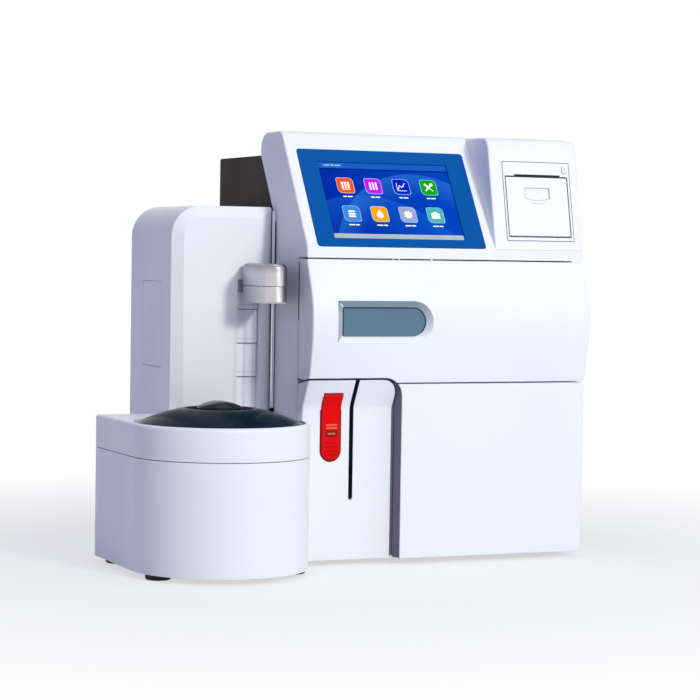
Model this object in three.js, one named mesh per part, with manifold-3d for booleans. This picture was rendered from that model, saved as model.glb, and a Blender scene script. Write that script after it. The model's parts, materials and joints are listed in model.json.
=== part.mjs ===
// Bench electrolyte analyzer with a sample changer at its left side.
// Millimetres. +X runs to the right, +Y to the back and +Z up, seen from the front of the instrument.
// Pieces are drawn with the analyzer's left side at X = 0, the reagent door's face at Y = 0
// and the underside of the casings at Z = 0. The last lines move the origin to the base centre.
import * as THREE from "three";
import { mergeVertices } from "three/addons/utils/BufferGeometryUtils.js";
import Module from "manifold-3d";

const wasm = await Module();
wasm.setup();

// Sizes that many pieces share
const wall = 3;
const seam = 1.3;
const fit = 0.4;
const overrun = 12;
const facet = 0.2;
const weld = 0.0001;
const footHeight = 6;
const footRadius = 13;
const footTaper = 1.5;

// Analyzer casing
const unitWidth = 320;
const edgeRound = 2.5;
const lipFront = 8.6;
const lipBottom = 311;
const lipRound = 1.5;
const slopeFoot = 322.2;
const screenLean = THREE.MathUtils.degToRad(32.1);
const headTop = 442.6;
const headThickness = 62.2;
const headFrontRound = 13;
const headRearRound = 18.5;
const kneeRound = 6;
const shellRear = 95.3;
const doorBack = 29.5;
const returnFlange = 11;

// Printer housing, beside the screen
const printerWidth = 105.9;
const printerLeft = unitWidth - printerWidth;
const printerStep = 0.9;
const printerRise = 118.8;
const printerTop = slopeFoot + printerRise;
const printerBack = 88;
const printerLean = THREE.MathUtils.degToRad(11.5);
const printerTopRound = 15;
const printerCornerRound = 9;

// Screen, measured up the slope from its foot
const bezelLeft = 12.3;
const bezelGap = 10.3;
const bezelRight = printerLeft - bezelGap;
const bezelBottom = 0.7;
const bezelTop = 119.8;
const bezelRound = 3;
const bezelThickness = 1.9;
const bezelProud = 0.4;
const screenLeft = 32.6;
const screenSide = 22.2;
const screenWidth = bezelRight - screenSide - screenLeft;
const screenBottom = 10.7;
const screenHeight = 94;
const screenThickness = 2.4;
const screenSunk = 0.6;
const displayMargin = 6;
const displayDepth = 11;
const displayRound = 2;

// Upper door
const doorBottom = 183.2;
const doorBulge = -9.6;
const doorBulgeHigh = 264.9;
const doorBulgeLow = 227.2;
const doorUpperRound = 80;
const doorLowerRound = 150;
const doorFootFront = 0.1;
const doorEdge = 0.8;
const doorCorner = 4;
const doorFlange = 14;

// Window in the upper door
const windowLeft = 28;
const windowRight = 134.9;
const windowBottom = 224.9;
const windowTop = 267.7;
const windowCorner = 1.5;
const windowSteps = 14;
const windowBevel = 6.3;
const windowSink = 4.4;
const windowLedge = 3;
const windowPadDepth = 8.6;
const paneThickness = 1.9;

// Arched alcove that the sample column stands in
const alcoveRight = 105.3;
const alcoveTop = 188.4;
const alcoveRound = 19;
const alcoveDraft = 3;
const alcoveStep = 1.9;

// Sample column
const columnFront = 16.3;
const columnBend = 158.5;
const columnLean = 15.6;
const columnSideTop = 181.5;
const bendRound = 16;
const slotLeft = 52.9;
const slotWidth = 4.6;
const slotFoot = 61.6;

// Urgent-sample lever and the probe that it swings out
const leverLeft = 21.3;
const leverWidth = 21.3;
const leverFoot = 102.8;
const leverTop = 172.6;
const leverThickness = 5;
const leverProud = 1.6;
const leverPinRadius = 1;
const leverPinOverlap = 4;
const leverRibs = 4;
const leverRibHeight = 0.8;
const leverRibWidth = 1.6;
const leverRibPitch = 4.2;
const leverBacking = 3;
const probePivotY = 35;
const probePivotZ = 172;
const probeArmLength = 62;
const probeArmThickness = 3.6;
const probeArmWidth = 9;
const probeTubeRadius = 0.8;
const probeTubeLength = 42;
const probeSocketShare = 0.75;
const probePinRadius = 2;
const probeCheek = 3;
const probeCheekWidth = 16;

// Reagent door
const reagentTop = 181.9;
const reagentFoot = 0.6;
const reagentRound = 3;
const reagentEdge = 1.2;
const reagentLeftDepth = 14;

// Door hinges: a steel rod near the face, knuckles on the casing and lugs on the door
const hingeInset = 3;
const hingeRod = 1;
const hingeBore = 1.3;
const knuckleRadius = 1.7;
const knuckleGap = 0.3;
const knuckleLength = 8;
const knuckleReach = 7.5;
const knuckleWeb = 2.6;
const lugRadius = 2.6;
const lugLength = 9;
const hingeSkin = 1;
const frontHingeInset = 34;
const reagentHingeLow = 26;
const reagentHingeHigh = 148;

// Rear cover, back panel and base plate
const coverRear = 267.5;
const coverTop = 418.5;
const coverInset = 1;
const coverSheet = 1.6;
const coverRound = 2;
const panelSheet = 2;
const louvreCount = 9;
const louvreWidth = 3;
const louvreHeight = 46;
const louvrePitch = 9;
const louvreFoot = 250;
const basePlate = 3;
const grilleCount = 8;
const grillePitch = 7;
const grilleWidth = 3;
const grilleRadius = 30;
const grilleInset = 80;
const grilleX = unitWidth - grilleInset;
const grilleZ = 300;
const unitFootInset = 38;
const unitFootFront = 78;
const unitFootRear = 240;

// Power entry at the back
const inletX = 60;
const inletZ = 60;
const inletWidth = 32;
const inletHeight = 48;
const socketDrop = 10;
const rockerRise = 11.5;
const inletDepth = 22;
const inletFlange = 2;
const inletProud = 1.6;
const socketWidth = 22;
const socketHeight = 15.6;
const socketDepth = 14;
const socketRound = 3;
const contactWidth = 2;
const contactLength = 4.4;
const contactPitch = 7;
const rockerWidth = 18;
const rockerHeight = 12;
const rockerDepth = 6;
const rockerAngle = 8;

// Frame behind the doors
const frameY = 36;
const frameSheet = 2;
const frameDepth = 84;
const shelfZ = 182;
const frameTop = 306;

// Electrode module behind the upper door
const blockLeft = 34;
const blockWidth = 122;
const blockFoot = 206;
const blockHeight = 26;
const blockDepth = 20;
const electrodeCount = 5;
const electrodePitch = 23;
const electrodeRadius = 8.5;
const electrodeHeight = 38;
const electrodeCapHeight = 9;
const electrodeCapRadius = 9.8;
const electrodeNeck = 3;
const electrodeSeat = 7;

// Peristaltic pump behind the upper door
const pumpShift = 2;
const pumpX = (blockLeft + blockWidth + unitWidth) / 2 - pumpShift;
const pumpZ = 244;
const pumpRadius = 27;
const pumpDepth = 14;
const pumpPlate = 4;
const pumpTrack = 22;
const rotorRadius = 12;
const rollerCount = 4;
const rollerRadius = 4.5;
const rollerOrbit = 14;
const rotorDepth = 11;
const rotorHub = 5;
const rotorShaft = 3;

// Reagent pack in the lower bay
const packMargin = 2;
const packFront = 34.5;
const packDepth = 84;
const packRound = 6;
const packNeckCount = 4;
const packNeckRadius = 7;
const packNeckHeight = 9;
const packHead = 12;
const packGripWidth = 70;
const packGripHeight = 26;
const packGripDepth = 8;

// Paper printer, measured up its own face from the foot of the screen slope
const outletMargin = 10.5;
const outletWidth = 80.6;
const outletRight = unitWidth - outletMargin;
const outletLeft = outletRight - outletWidth;
const outletBottom = 9.7;
const outletDrop = 23.2;
const outletTop = printerRise - outletDrop;
const outletRound = 1;
const paperDoorLeftGap = 2.8;
const paperDoorRightGap = 3.2;
const paperDoorLeft = outletLeft + paperDoorLeftGap;
const paperDoorRight = outletRight - paperDoorRightGap;
const paperDoorBottom = 14.9;
const paperDoorDrop = 16.2;
const paperDoorTop = outletTop - paperDoorDrop;
const paperDoorThickness = 3;
const paperSlotInset = 10.7;
const paperSlotLeft = paperDoorLeft + paperSlotInset;
const paperSlotWidth = 55.2;
const paperSlotHeight = 2.4;
const tubWall = 2;
const tubDepth = 58;
const rollClearance = 9.25;
const rollRadius = (paperDoorTop - paperDoorBottom) / 2 - rollClearance;
const rollCore = 6.5;
const rollWidth = 57.5;
const platenRadius = 5;
const platenShaft = 2;
const platenDrop = 6.4;
const platenHeight = paperDoorTop - platenDrop;
const platenBehind = 10;
const cheekThickness = 2.5;
const cheekRise = 5;
const gripWidth = 30;
const gripHeight = 11.5;
const gripDrop = 11.8;
const gripTop = paperDoorTop - gripDrop;
const gripDepth = 1.4;
const gripBelly = 4;
const feedInset = 2.9;
const feedDrop = 7.6;
const feedX = paperDoorRight - feedInset;
const feedUp = outletTop - feedDrop;
const feedWidth = 5.4;
const feedLength = 7.4;
const feedRound = 1.4;
const feedProud = 1.4;
const feedFlange = 1;

// Sample changer base
const changerX = -94.1;
const changerY = 3.5;
const changerRadius = 90.5;
const changerRear = 128.4;
const changerSeam = 112.9;
const changerSeamGap = 0.8;
const changerTop = 145.8;
const changerTopRound = 4;
const changerRearRound = 4;
const wellRadius = 80;
const wellFloor = 116;
const wellLedge = 141.4;
const rimRadius = 86.3;
const changerFootX = 71;
const changerFootFront = -20;
const changerFootRear = 106;

// Dome lid
const lidRadius = 85.6;
const lidRise = 20;
const lidWall = 2.4;
const lidRim = 1.6;
const lidRingShares = [1, 0.9, 0.78, 0.64, 0.5];
const dishRadius = 36;
const dishDepth = 2.6;
const knobRadius = 23;
const knobRise = 9.6;
const knobEdge = 2.4;
const knobWaist = 2.2;
const knobRidgeShare = 0.66;
const knobShoulderShare = 0.8;
const knobShoulderRiseShare = 0.72;
const knobCrownShare = 0.45;
const needleHole = 4;

// Sample disk
const diskRadius = 78.5;
const diskThickness = 3;
const diskLift = 1.5;
const cupPlaces = 24;
const cupRadius = 6.2;
const cupWall = 0.9;
const cupSides = 10;
const cupHeight = 17.5;
const hubRadius = 14;
const hubHeight = 16;
const driveShaftRadius = 4;
const motorRadius = 26;
const motorHeight = 34;
const motorFlange = 4;

// Changer tower
const towerLeft = -114.5;
const towerRight = -4.1;
const towerFront = 91.8;
const towerRear = 227;
const towerTop = 362.8;
const towerRound = 32;
const towerRightRound = 3;
const towerBevel = 12;
const towerBevelDepth = 6;
const dockHeight = 60;
const dockFoot = 150;
const channelLeft = -43;
const channelWidth = 24.6;
const channelDrop = 76;
const channelTop = towerTop - channelDrop;
const channelDepth = 16;
const hatchFront = 126;
const hatchRear = 187;
const hatchFoot = 194.5;
const hatchHead = 283.3;
const hatchGap = 0.5;
const hatchThickness = 1.2;

// Sampling arm, its needle and the shutters that close the channel below it
const armX = -28;
const armHalfWidth = 12;
const armCentreY = 25;
const armRear = 85.5;
const armLowerHeight = 17.3;
const armUpperHeight = 23.3;
const armSplitDrop = 5.9;
const armSplit = channelTop - armSplitDrop;
const armFoot = armSplit - armLowerHeight;
const armHead = armSplit + armUpperHeight;
const armSplitGap = 0.5;
const armTopRound = 5;
const armNoseStep = 1.4;
const carriageDepth = 20;
const carriageHeight = 26;
const liftRodRadius = 4;
const neckHalfWidth = 6;
const neckRise = 10;
const neckHeight = 6.7;
const neckFoot = armFoot + neckRise;
const neckHead = neckFoot + neckHeight;
const needleY = 32;
const needleRadius = 0.8;
const needleTip = 162.3;
const armTravel = 38;
const shutterCount = 4;
const shutterSheet = 1.2;
const shutterGap = 0.4;
const shutterSink = 0.9;
const shutterOverlap = 5;
const shutterSide = 0.6;
const shutterDrop = 8.3;
const shutterLowest = 3.9;
const shutterHighest = armFoot - shutterDrop;
const shutterPitch = (shutterHighest - changerTop - shutterLowest) / (shutterCount - 1);
const ribHalfWidth = 6;
const ribRise = 2.6;

// Looks of the pieces
function finish(colour, roughness, metalness = 0, extra = {}) {
  return new THREE.MeshStandardMaterial({ color: colour, roughness, metalness, ...extra });
}
const white = finish(0xeceef4, 0.45);
const blue = finish(0x0f5aaa, 0.35);
const glass = finish(0x1d4fb8, 0.1);
const tinted = finish(0x50707f, 0.15);
const smoke = finish(0x1c2b33, 0.1);
const red = finish(0xe5190f, 0.4);
const charcoal = finish(0x322a2a, 0.6, 0.3);
const silver = finish(0xbeb9c3, 0.3, 0.8);
const steel = finish(0xc8ccd0, 0.2, 1);
const rubber = finish(0x14121a, 0.9);
const grey = finish(0x8b93a3, 0.6);
const paper = finish(0xf8f8f4, 0.95);

// A closed geometry as a solid that can be joined and cut
function solid(geometry) {
  const bare = new THREE.BufferGeometry();
  bare.setAttribute("position", geometry.getAttribute("position"));
  if (geometry.index) bare.setIndex(geometry.index);
  const merged = mergeVertices(bare, weld);
  const corners = merged.index.array;
  const kept = [];
  for (let i = 0; i < corners.length; i += 3) {
    const [a, b, c] = [corners[i], corners[i + 1], corners[i + 2]];
    if (a !== b && b !== c && c !== a) kept.push(a, b, c);
  }
  return new wasm.Manifold(
    new wasm.Mesh({
      numProp: 3,
      vertProperties: merged.getAttribute("position").array,
      triVerts: new Uint32Array(kept),
    }),
  );
}

function join(...pieces) {
  return pieces.reduce((whole, piece) => whole.add(piece));
}

function cut(whole, ...tools) {
  return tools.reduce((rest, tool) => rest.subtract(tool), whole);
}

function common(...pieces) {
  return pieces.reduce((shared, piece) => shared.intersect(piece));
}

function moved(piece, matrix) {
  return piece.transform(matrix.toArray());
}

function shifted(piece, x, y, z) {
  return moved(piece, new THREE.Matrix4().makeTranslation(x, y, z));
}

// Steps that keep an arc within one facet height of the true curve
function arcSteps(radius, turn) {
  const step = 2 * Math.acos(1 - facet / Math.max(radius, 2 * facet));
  return Math.max(2, Math.ceil(Math.abs(turn) / step));
}

// Points of a closed outline through corners [across, up, radius], each rounded by its radius
function outline(corners, steps = 0) {
  const points = [];
  corners.forEach(([x, y, radius = 0], i) => {
    const here = new THREE.Vector2(x, y);
    if (radius <= 0) {
      points.push(here);
      return;
    }
    const last = corners[(i + corners.length - 1) % corners.length];
    const next = corners[(i + 1) % corners.length];
    const back = new THREE.Vector2(last[0], last[1]).sub(here).normalize();
    const ahead = new THREE.Vector2(next[0], next[1]).sub(here).normalize();
    const half = Math.acos(THREE.MathUtils.clamp(back.dot(ahead), -1, 1)) / 2;
    const centre = back.clone().add(ahead).normalize();
    centre.multiplyScalar(radius / Math.sin(half)).add(here);
    const first = here.clone().addScaledVector(back, radius / Math.tan(half)).sub(centre);
    const turn = Math.sign(back.cross(ahead)) * (half * 2 - Math.PI);
    const count = steps || arcSteps(radius, turn);
    for (let k = 0; k <= count; k += 1) {
      const share = k / count;
      points.push(first.clone().rotateAround(new THREE.Vector2(), turn * share).add(centre));
    }
  });
  return points.filter((point, i) => point.distanceTo(points[(i + 1) % points.length]) > weld * 10);
}

// Corners of an outline moved inward by one distance, or by one distance for each side
function inset(corners, distances) {
  const count = corners.length;
  const sides = corners.map(([x, y], i) => {
    const next = corners[(i + 1) % count];
    const along = new THREE.Vector2(next[0] - x, next[1] - y).normalize();
    const inward = new THREE.Vector2(-along.y, along.x);
    const distance = Array.isArray(distances) ? distances[i] : distances;
    return { along, inward, start: new THREE.Vector2(x, y).addScaledVector(inward, distance), distance };
  });
  return corners.map(([, , radius = 0], i) => {
    const before = sides[(i + count - 1) % count];
    const after = sides[i];
    const bend = before.along.cross(after.along);
    const reach = after.start.clone().sub(before.start).cross(after.along) / bend;
    const corner = before.start.clone().addScaledVector(before.along, reach);
    const alike = before.distance * after.distance > 0;
    const change = alike ? (before.distance + after.distance) / 2 : 0;
    const left = radius > 0 ? Math.max(0, radius - Math.sign(bend) * change) : 0;
    return [corner.x, corner.y, left];
  });
}

// Points of a circle, or of a circle with a given number of sides
function circle(radius, across = 0, up = 0, sides = 0) {
  const count = sides || Math.max(10, arcSteps(radius, 2 * Math.PI));
  return Array.from({ length: count }, (_, i) => {
    const angle = (2 * Math.PI * i) / count;
    return new THREE.Vector2(across + radius * Math.cos(angle), up + radius * Math.sin(angle));
  });
}

// Axes that an outline and its depth take: across, up and depth
const planes = {
  x: new THREE.Matrix4().makeBasis(axis(0, 1, 0), axis(0, 0, 1), axis(1, 0, 0)),
  y: new THREE.Matrix4().makeBasis(axis(1, 0, 0), axis(0, 0, 1), axis(0, -1, 0)),
  z: new THREE.Matrix4(),
};

function axis(x, y, z) {
  return new THREE.Vector3(x, y, z);
}

// A prism along one of the part's axes, from low to high, with rounded end edges if asked
function prism(along, points, low, high, round = 0, steps = 3) {
  const geometry = new THREE.ExtrudeGeometry(new THREE.Shape(points), {
    depth: high - low - 2 * round,
    bevelEnabled: round > 0,
    bevelThickness: round,
    bevelSize: round,
    bevelOffset: -round,
    bevelSegments: steps,
  });
  geometry.translate(0, 0, round);
  geometry.translate(0, 0, along === "y" ? -high : low);
  return solid(geometry.applyMatrix4(planes[along]));
}

// A prism with rounded ends that keeps the corners which are sharper than its rounding
function softened(along, corners, low, high, round, steps = 3) {
  const broad = corners.map(([x, y, radius = 0]) => [x, y, radius > round + fit ? radius : 0]);
  const rounded = prism(along, outline(broad), low, high, round, steps);
  return common(rounded, prism(along, outline(corners), low, high));
}

// A prism whose outline changes evenly between two levels along Y or Z
function loft(along, first, low, second, high) {
  const count = first.length;
  const level = along === "y" ? [-high, -low] : [low, high];
  const [under, over] = along === "y" ? [second, first] : [first, second];
  const places = [];
  under.forEach((p) => places.push(p.x, p.y, level[0]));
  over.forEach((p) => places.push(p.x, p.y, level[1]));
  const sides = [];
  for (let i = 0; i < count; i += 1) {
    const j = (i + 1) % count;
    sides.push(i, j, count + j, i, count + j, count + i);
  }
  THREE.ShapeUtils.triangulateShape(under, []).forEach(([a, b, c]) => sides.push(c, b, a));
  THREE.ShapeUtils.triangulateShape(over, []).forEach(([a, b, c]) => {
    sides.push(count + a, count + b, count + c);
  });
  const geometry = new THREE.BufferGeometry();
  geometry.setAttribute("position", new THREE.Float32BufferAttribute(places, 3));
  geometry.setIndex(sides);
  return solid(geometry.applyMatrix4(planes[along]));
}

function box(x, y, z) {
  const geometry = new THREE.BoxGeometry(x[1] - x[0], y[1] - y[0], z[1] - z[0]);
  geometry.translate((x[0] + x[1]) / 2, (y[0] + y[1]) / 2, (z[0] + z[1]) / 2);
  return solid(geometry);
}

function rod(along, radius, across, up, low, high, sides = 0) {
  return prism(along, circle(radius, across, up, sides), low, high);
}

// A turned piece about a vertical line, from a profile of [radius, height] points
function turned(profile, x, y) {
  const points = profile.map(([radius, height]) => new THREE.Vector2(radius, height));
  const widest = Math.max(...profile.map(([radius]) => radius));
  const geometry = new THREE.LatheGeometry(points, arcSteps(widest, 2 * Math.PI));
  geometry.rotateX(Math.PI / 2);
  geometry.translate(x, y, 0);
  return solid(geometry);
}

// Place of a leaning face: across, up the face and out of it
function leaningFrame(y, z, lean) {
  const up = axis(0, Math.sin(lean), Math.cos(lean));
  const out = axis(0, -Math.cos(lean), Math.sin(lean));
  return new THREE.Matrix4().makeBasis(axis(1, 0, 0), up, out).setPosition(0, y, z);
}
const slope = leaningFrame(lipFront, slopeFoot, screenLean);
const printerFace = leaningFrame(lipFront - printerStep, slopeFoot, printerLean);

// A plate or tool on a leaning face, from an outline drawn up the face
function onFace(frame, points, low, high, round = 0) {
  return moved(prism("z", points, low, high, round), frame);
}

function slopeAt(z) {
  return lipFront + (z - slopeFoot) * Math.tan(screenLean);
}

function printerAt(z) {
  return lipFront - printerStep + (z - slopeFoot) * Math.tan(printerLean);
}

const headSpan = headThickness / Math.cos(screenLean);
const kneeZ = slopeFoot + (shellRear - headSpan - lipFront) / Math.tan(screenLean);
const seamBack = doorBack + seam;
const doorTop = lipBottom - seam;

function rectangle(left, bottom, right, top, radius = 0) {
  return [
    [left, bottom, radius],
    [right, bottom, radius],
    [right, top, radius],
    [left, top, radius],
  ];
}

// Hinge shared by all doors. In its own frame the rod's line is the Z axis, X runs inward
// from the door's face, and Y runs from the rod to the seam.
function knuckle(place) {
  const arm = box([0, knuckleReach], [-knuckleRadius, knuckleRadius], [0, knuckleLength]);
  const web = box(
    [knuckleReach - knuckleWeb, knuckleReach],
    [-knuckleRadius, hingeInset + seam + wall / 2],
    [0, knuckleLength],
  );
  const eye = rod("z", knuckleRadius, 0, 0, 0, knuckleLength, 16);
  const bore = rod("z", hingeBore, 0, 0, -overrun, knuckleLength + overrun, 12);
  return moved(cut(join(eye, arm, web), bore), place);
}

function knuckleRoom(place) {
  const room = knuckleRadius + knuckleGap;
  const low = -knuckleGap;
  const high = knuckleLength + knuckleGap;
  return moved(
    join(
      rod("z", room, 0, 0, low, high, 16),
      box([hingeSkin - hingeInset, overrun], [-room, hingeInset + seam], [low, high]),
    ),
    place,
  );
}

function lugs(place) {
  const below = rod("z", lugRadius, 0, 0, -knuckleGap - lugLength, -knuckleGap, 16);
  const rise = knuckleLength + knuckleGap;
  const above = rod("z", lugRadius, 0, 0, rise, rise + lugLength, 16);
  return moved(join(below, above), place);
}

const frontHingeY = lipFront + hingeInset;
const frontHingeZ = doorTop - hingeInset;
const frontHinge = (x) =>
  new THREE.Matrix4()
    .makeBasis(axis(0, 1, 0), axis(0, 0, 1), axis(1, 0, 0))
    .setPosition(x, frontHingeY, frontHingeZ);
const frontHinges = [frontHingeInset, unitWidth - frontHingeInset - knuckleLength].map(frontHinge);
const frontRod = [frontHingeInset - lugLength, unitWidth - frontHingeInset + lugLength];

const reagentHinge = (z) =>
  new THREE.Matrix4()
    .makeBasis(axis(-1, 0, 0), axis(0, 1, 0), axis(0, 0, -1))
    .setPosition(unitWidth - hingeInset, doorBack - hingeInset, z + knuckleLength);
const reagentHinges = [reagentHingeLow, reagentHingeHigh].map(reagentHinge);
const reagentRod = [reagentHingeLow - lugLength, reagentHingeHigh + knuckleLength + lugLength];

// White front casing: slanted head, lip, side walls and the return flanges round the door opening
function housingCorners() {
  return [
    [seamBack, 0],
    [shellRear, 0],
    [shellRear, kneeZ, kneeRound],
    [slopeAt(headTop) + headSpan, headTop, headRearRound],
    [slopeAt(headTop), headTop, headFrontRound],
    [lipFront, slopeFoot, lipRound],
    [lipFront, lipBottom],
    [seamBack, lipBottom],
  ];
}

function printerCorners() {
  return [
    [lipFront, lipBottom],
    [printerBack, lipBottom],
    [printerBack, printerTop],
    [printerAt(printerTop), printerTop, printerTopRound],
    [lipFront - printerStep, slopeFoot],
    [lipFront, slopeFoot],
  ];
}

function upperHousing() {
  const open = -overrun;
  const head = softened("x", housingCorners(), 0, unitWidth, edgeRound);
  const front = outline([
    [printerLeft, lipBottom],
    [unitWidth, lipBottom],
    [unitWidth, printerTop, printerCornerRound],
    [printerLeft, printerTop],
  ]);
  const printer = common(
    softened("x", printerCorners(), printerLeft, unitWidth, edgeRound),
    prism("y", front, -overrun, printerBack),
  );
  const hollow = inset(housingCorners(), [open, open, wall, wall, wall, wall, wall, wall]);
  const printerHollow = inset(printerCorners(), [wall, -lipRound, wall, wall, 0, wall]);
  const roof = outline([
    [printerLeft + wall, lipBottom],
    [unitWidth - wall, lipBottom],
    [unitWidth - wall, printerTop - wall, printerCornerRound - wall],
    [printerLeft + wall, printerTop - wall],
  ]);
  const doorway = box(
    [returnFlange, unitWidth - returnFlange],
    [doorBack - overrun, seamBack + wall + overrun],
    [-overrun, lipBottom],
  );
  const opening = rectangle(
    screenLeft - displayMargin / 2,
    screenBottom - displayMargin / 2,
    screenLeft + screenWidth + displayMargin / 2,
    screenBottom + screenHeight + displayMargin / 2,
  );
  const outlet = rectangle(outletLeft, outletBottom, outletRight, outletTop, outletRound);
  return join(
    cut(
      join(head, printer),
      prism("x", outline(hollow), wall, unitWidth - wall),
      common(
        prism("x", outline(printerHollow), printerLeft + wall, unitWidth - wall),
        prism("y", roof, -overrun, printerBack + overrun),
      ),
      doorway,
      onFace(slope, outline(inset(bezelCorners, -fit)), bezelProud - bezelThickness - fit, overrun),
      onFace(slope, outline(opening), -overrun, overrun),
      onFace(printerFace, outline(outlet), -overrun, overrun),
    ),
    ...frontHinges.map(knuckle),
    ...reagentHinges.map(knuckle),
  );
}

// Arched alcove as a tool, grown outward by a margin, drafted from front to back
function alcove(margin = 0) {
  const arch = (y) => {
    const grow = margin - (alcoveDraft * y) / columnFront;
    return outline(
      [
        [-overrun - margin, -overrun],
        [alcoveRight + grow, -overrun],
        [alcoveRight + grow, alcoveTop + grow, alcoveRound],
        [-overrun - margin, alcoveTop + grow],
      ],
      8,
    );
  };
  const near = doorBulge - overrun;
  const far = seamBack + overrun;
  return loft("y", arch(near), near, arch(far), far);
}

// Upper door: a bulging front with sides that wrap back to the seam
function doorCorners() {
  return [
    [doorBack, doorBottom, doorCorner],
    [doorBack, doorTop],
    [lipFront, doorTop, doorEdge],
    [doorBulge, doorBulgeHigh, doorUpperRound],
    [doorBulge, doorBulgeLow, doorLowerRound],
    [doorFootFront, doorBottom, doorEdge],
  ];
}

// Window outline, square at its left and round at its right, smaller by a gap
function windowCorners(gap = 0) {
  const round = (windowTop - windowBottom) / 2 - gap;
  return [
    [windowLeft + gap, windowBottom + gap, windowCorner],
    [windowRight - gap, windowBottom + gap, round],
    [windowRight - gap, windowTop - gap, round],
    [windowLeft + gap, windowTop - gap, windowCorner],
  ];
}

const paneFront = doorBulge + windowSink;

// Room that the door's side needs to swing past the sample column's head
function swingRoom() {
  const head = alcoveTop - alcoveStep;
  const reach = Math.hypot(frontHingeY - columnAt(head), frontHingeZ - head) - fit;
  return cut(
    box([-overrun, alcoveRight - alcoveRound], [doorFlange, doorBack + overrun], [-overrun, head + overrun]),
    rod("x", reach, frontHingeY, frontHingeZ, -overrun * 2, alcoveRight, 96),
  );
}

function frontDoor() {
  const inner = inset(doorCorners(), [-overrun, wall, wall, wall, wall, wall]);
  const shell = cut(
    cut(softened("x", doorCorners(), 0, unitWidth, edgeRound), alcove()),
    cut(prism("x", outline(inner), wall, unitWidth - wall), alcove(wall)),
    box([wall, unitWidth - wall], [doorFlange, doorBack + overrun], [-overrun, lipBottom - hingeInset * 3]),
  );
  const pad = common(
    prism("y", outline(windowCorners(-wall)), doorBulge, doorBulge + windowPadDepth),
    prism("x", outline(doorCorners()), 0, unitWidth),
  );
  const flare = outline(windowCorners(-windowBevel), windowSteps);
  const throat = outline(windowCorners(windowBevel), windowSteps);
  return cut(
    join(shell, pad, ...frontHinges.map(lugs)),
    loft("y", flare, doorBulge - windowSink, throat, paneFront),
    prism("y", throat, paneFront - fit, paneFront + paneThickness + fit),
    prism("y", outline(windowCorners(windowBevel + windowLedge)), paneFront, overrun),
    ...frontHinges.map(knuckleRoom),
    rod("x", hingeBore, frontHingeY, frontHingeZ, frontRod[0] - fit, frontRod[1] + fit, 12),
    swingRoom(),
  );
}

function doorWindow() {
  return prism(
    "y",
    outline(windowCorners(windowBevel + fit), windowSteps),
    paneFront + fit / 2,
    paneFront + paneThickness,
  );
}

// Lower right door over the reagent bay
function reagentDoor() {
  const plan = [
    [0, 0],
    [unitWidth, 0, reagentRound],
    [unitWidth, doorBack],
    [0, doorBack],
  ];
  const inner = inset(plan, [wall, wall, -overrun, 0]);
  return cut(
    join(
      cut(
        cut(softened("z", plan, reagentFoot, reagentTop, reagentEdge), alcove()),
        cut(prism("z", outline(inner), reagentFoot + wall, reagentTop - wall), alcove(wall)),
        box([0, alcoveRight + wall], [reagentLeftDepth, doorBack + overrun], [-overrun, lipBottom]),
      ),
      ...reagentHinges.map(lugs),
    ),
    ...reagentHinges.map(knuckleRoom),
    rod(
      "z",
      hingeBore,
      unitWidth - hingeInset,
      doorBack - hingeInset,
      reagentRod[0] - fit,
      reagentRod[1] + fit,
      12,
    ),
  );
}

// Sample column: front wall with a forward lean above the bend, slot, lever seat and probe cheeks
const columnHead = alcoveTop - alcoveStep;
const leanRise = columnHead - columnBend;

function columnAt(z) {
  return columnFront - (Math.max(0, z - columnBend) * columnLean) / leanRise;
}

function columnCorners() {
  return [
    [seamBack - fit, 0],
    [seamBack - fit, columnHead],
    [columnAt(columnHead), columnHead],
    [columnFront, columnBend, bendRound],
    [columnFront, 0],
  ];
}

// Lever profile: a strip of even thickness that follows the column's face
function leverStrip(front, back, foot, head) {
  return [
    [columnAt(foot) + back, foot],
    [columnAt(columnBend) + back, columnBend, bendRound],
    [columnAt(head) + back, head],
    [columnAt(head) - front, head],
    [columnAt(columnBend) - front, columnBend, bendRound],
    [columnAt(foot) - front, foot],
  ];
}

function leverPlan(margin) {
  const radius = leverWidth / 2 + margin;
  return [
    [leverLeft - margin, leverFoot - margin, radius],
    [leverLeft + leverWidth + margin, leverFoot - margin, radius],
    [leverLeft + leverWidth + margin, leverTop + margin],
    [leverLeft - margin, leverTop + margin],
  ];
}

const leverSunk = leverThickness - leverProud;
const leverPivotZ = leverTop - leverThickness / 2;
const leverRight = leverLeft + leverWidth;
const leverPivotY = columnAt(leverPivotZ) - leverProud + leverThickness / 2;
const slotMiddle = slotLeft + slotWidth / 2;

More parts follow.
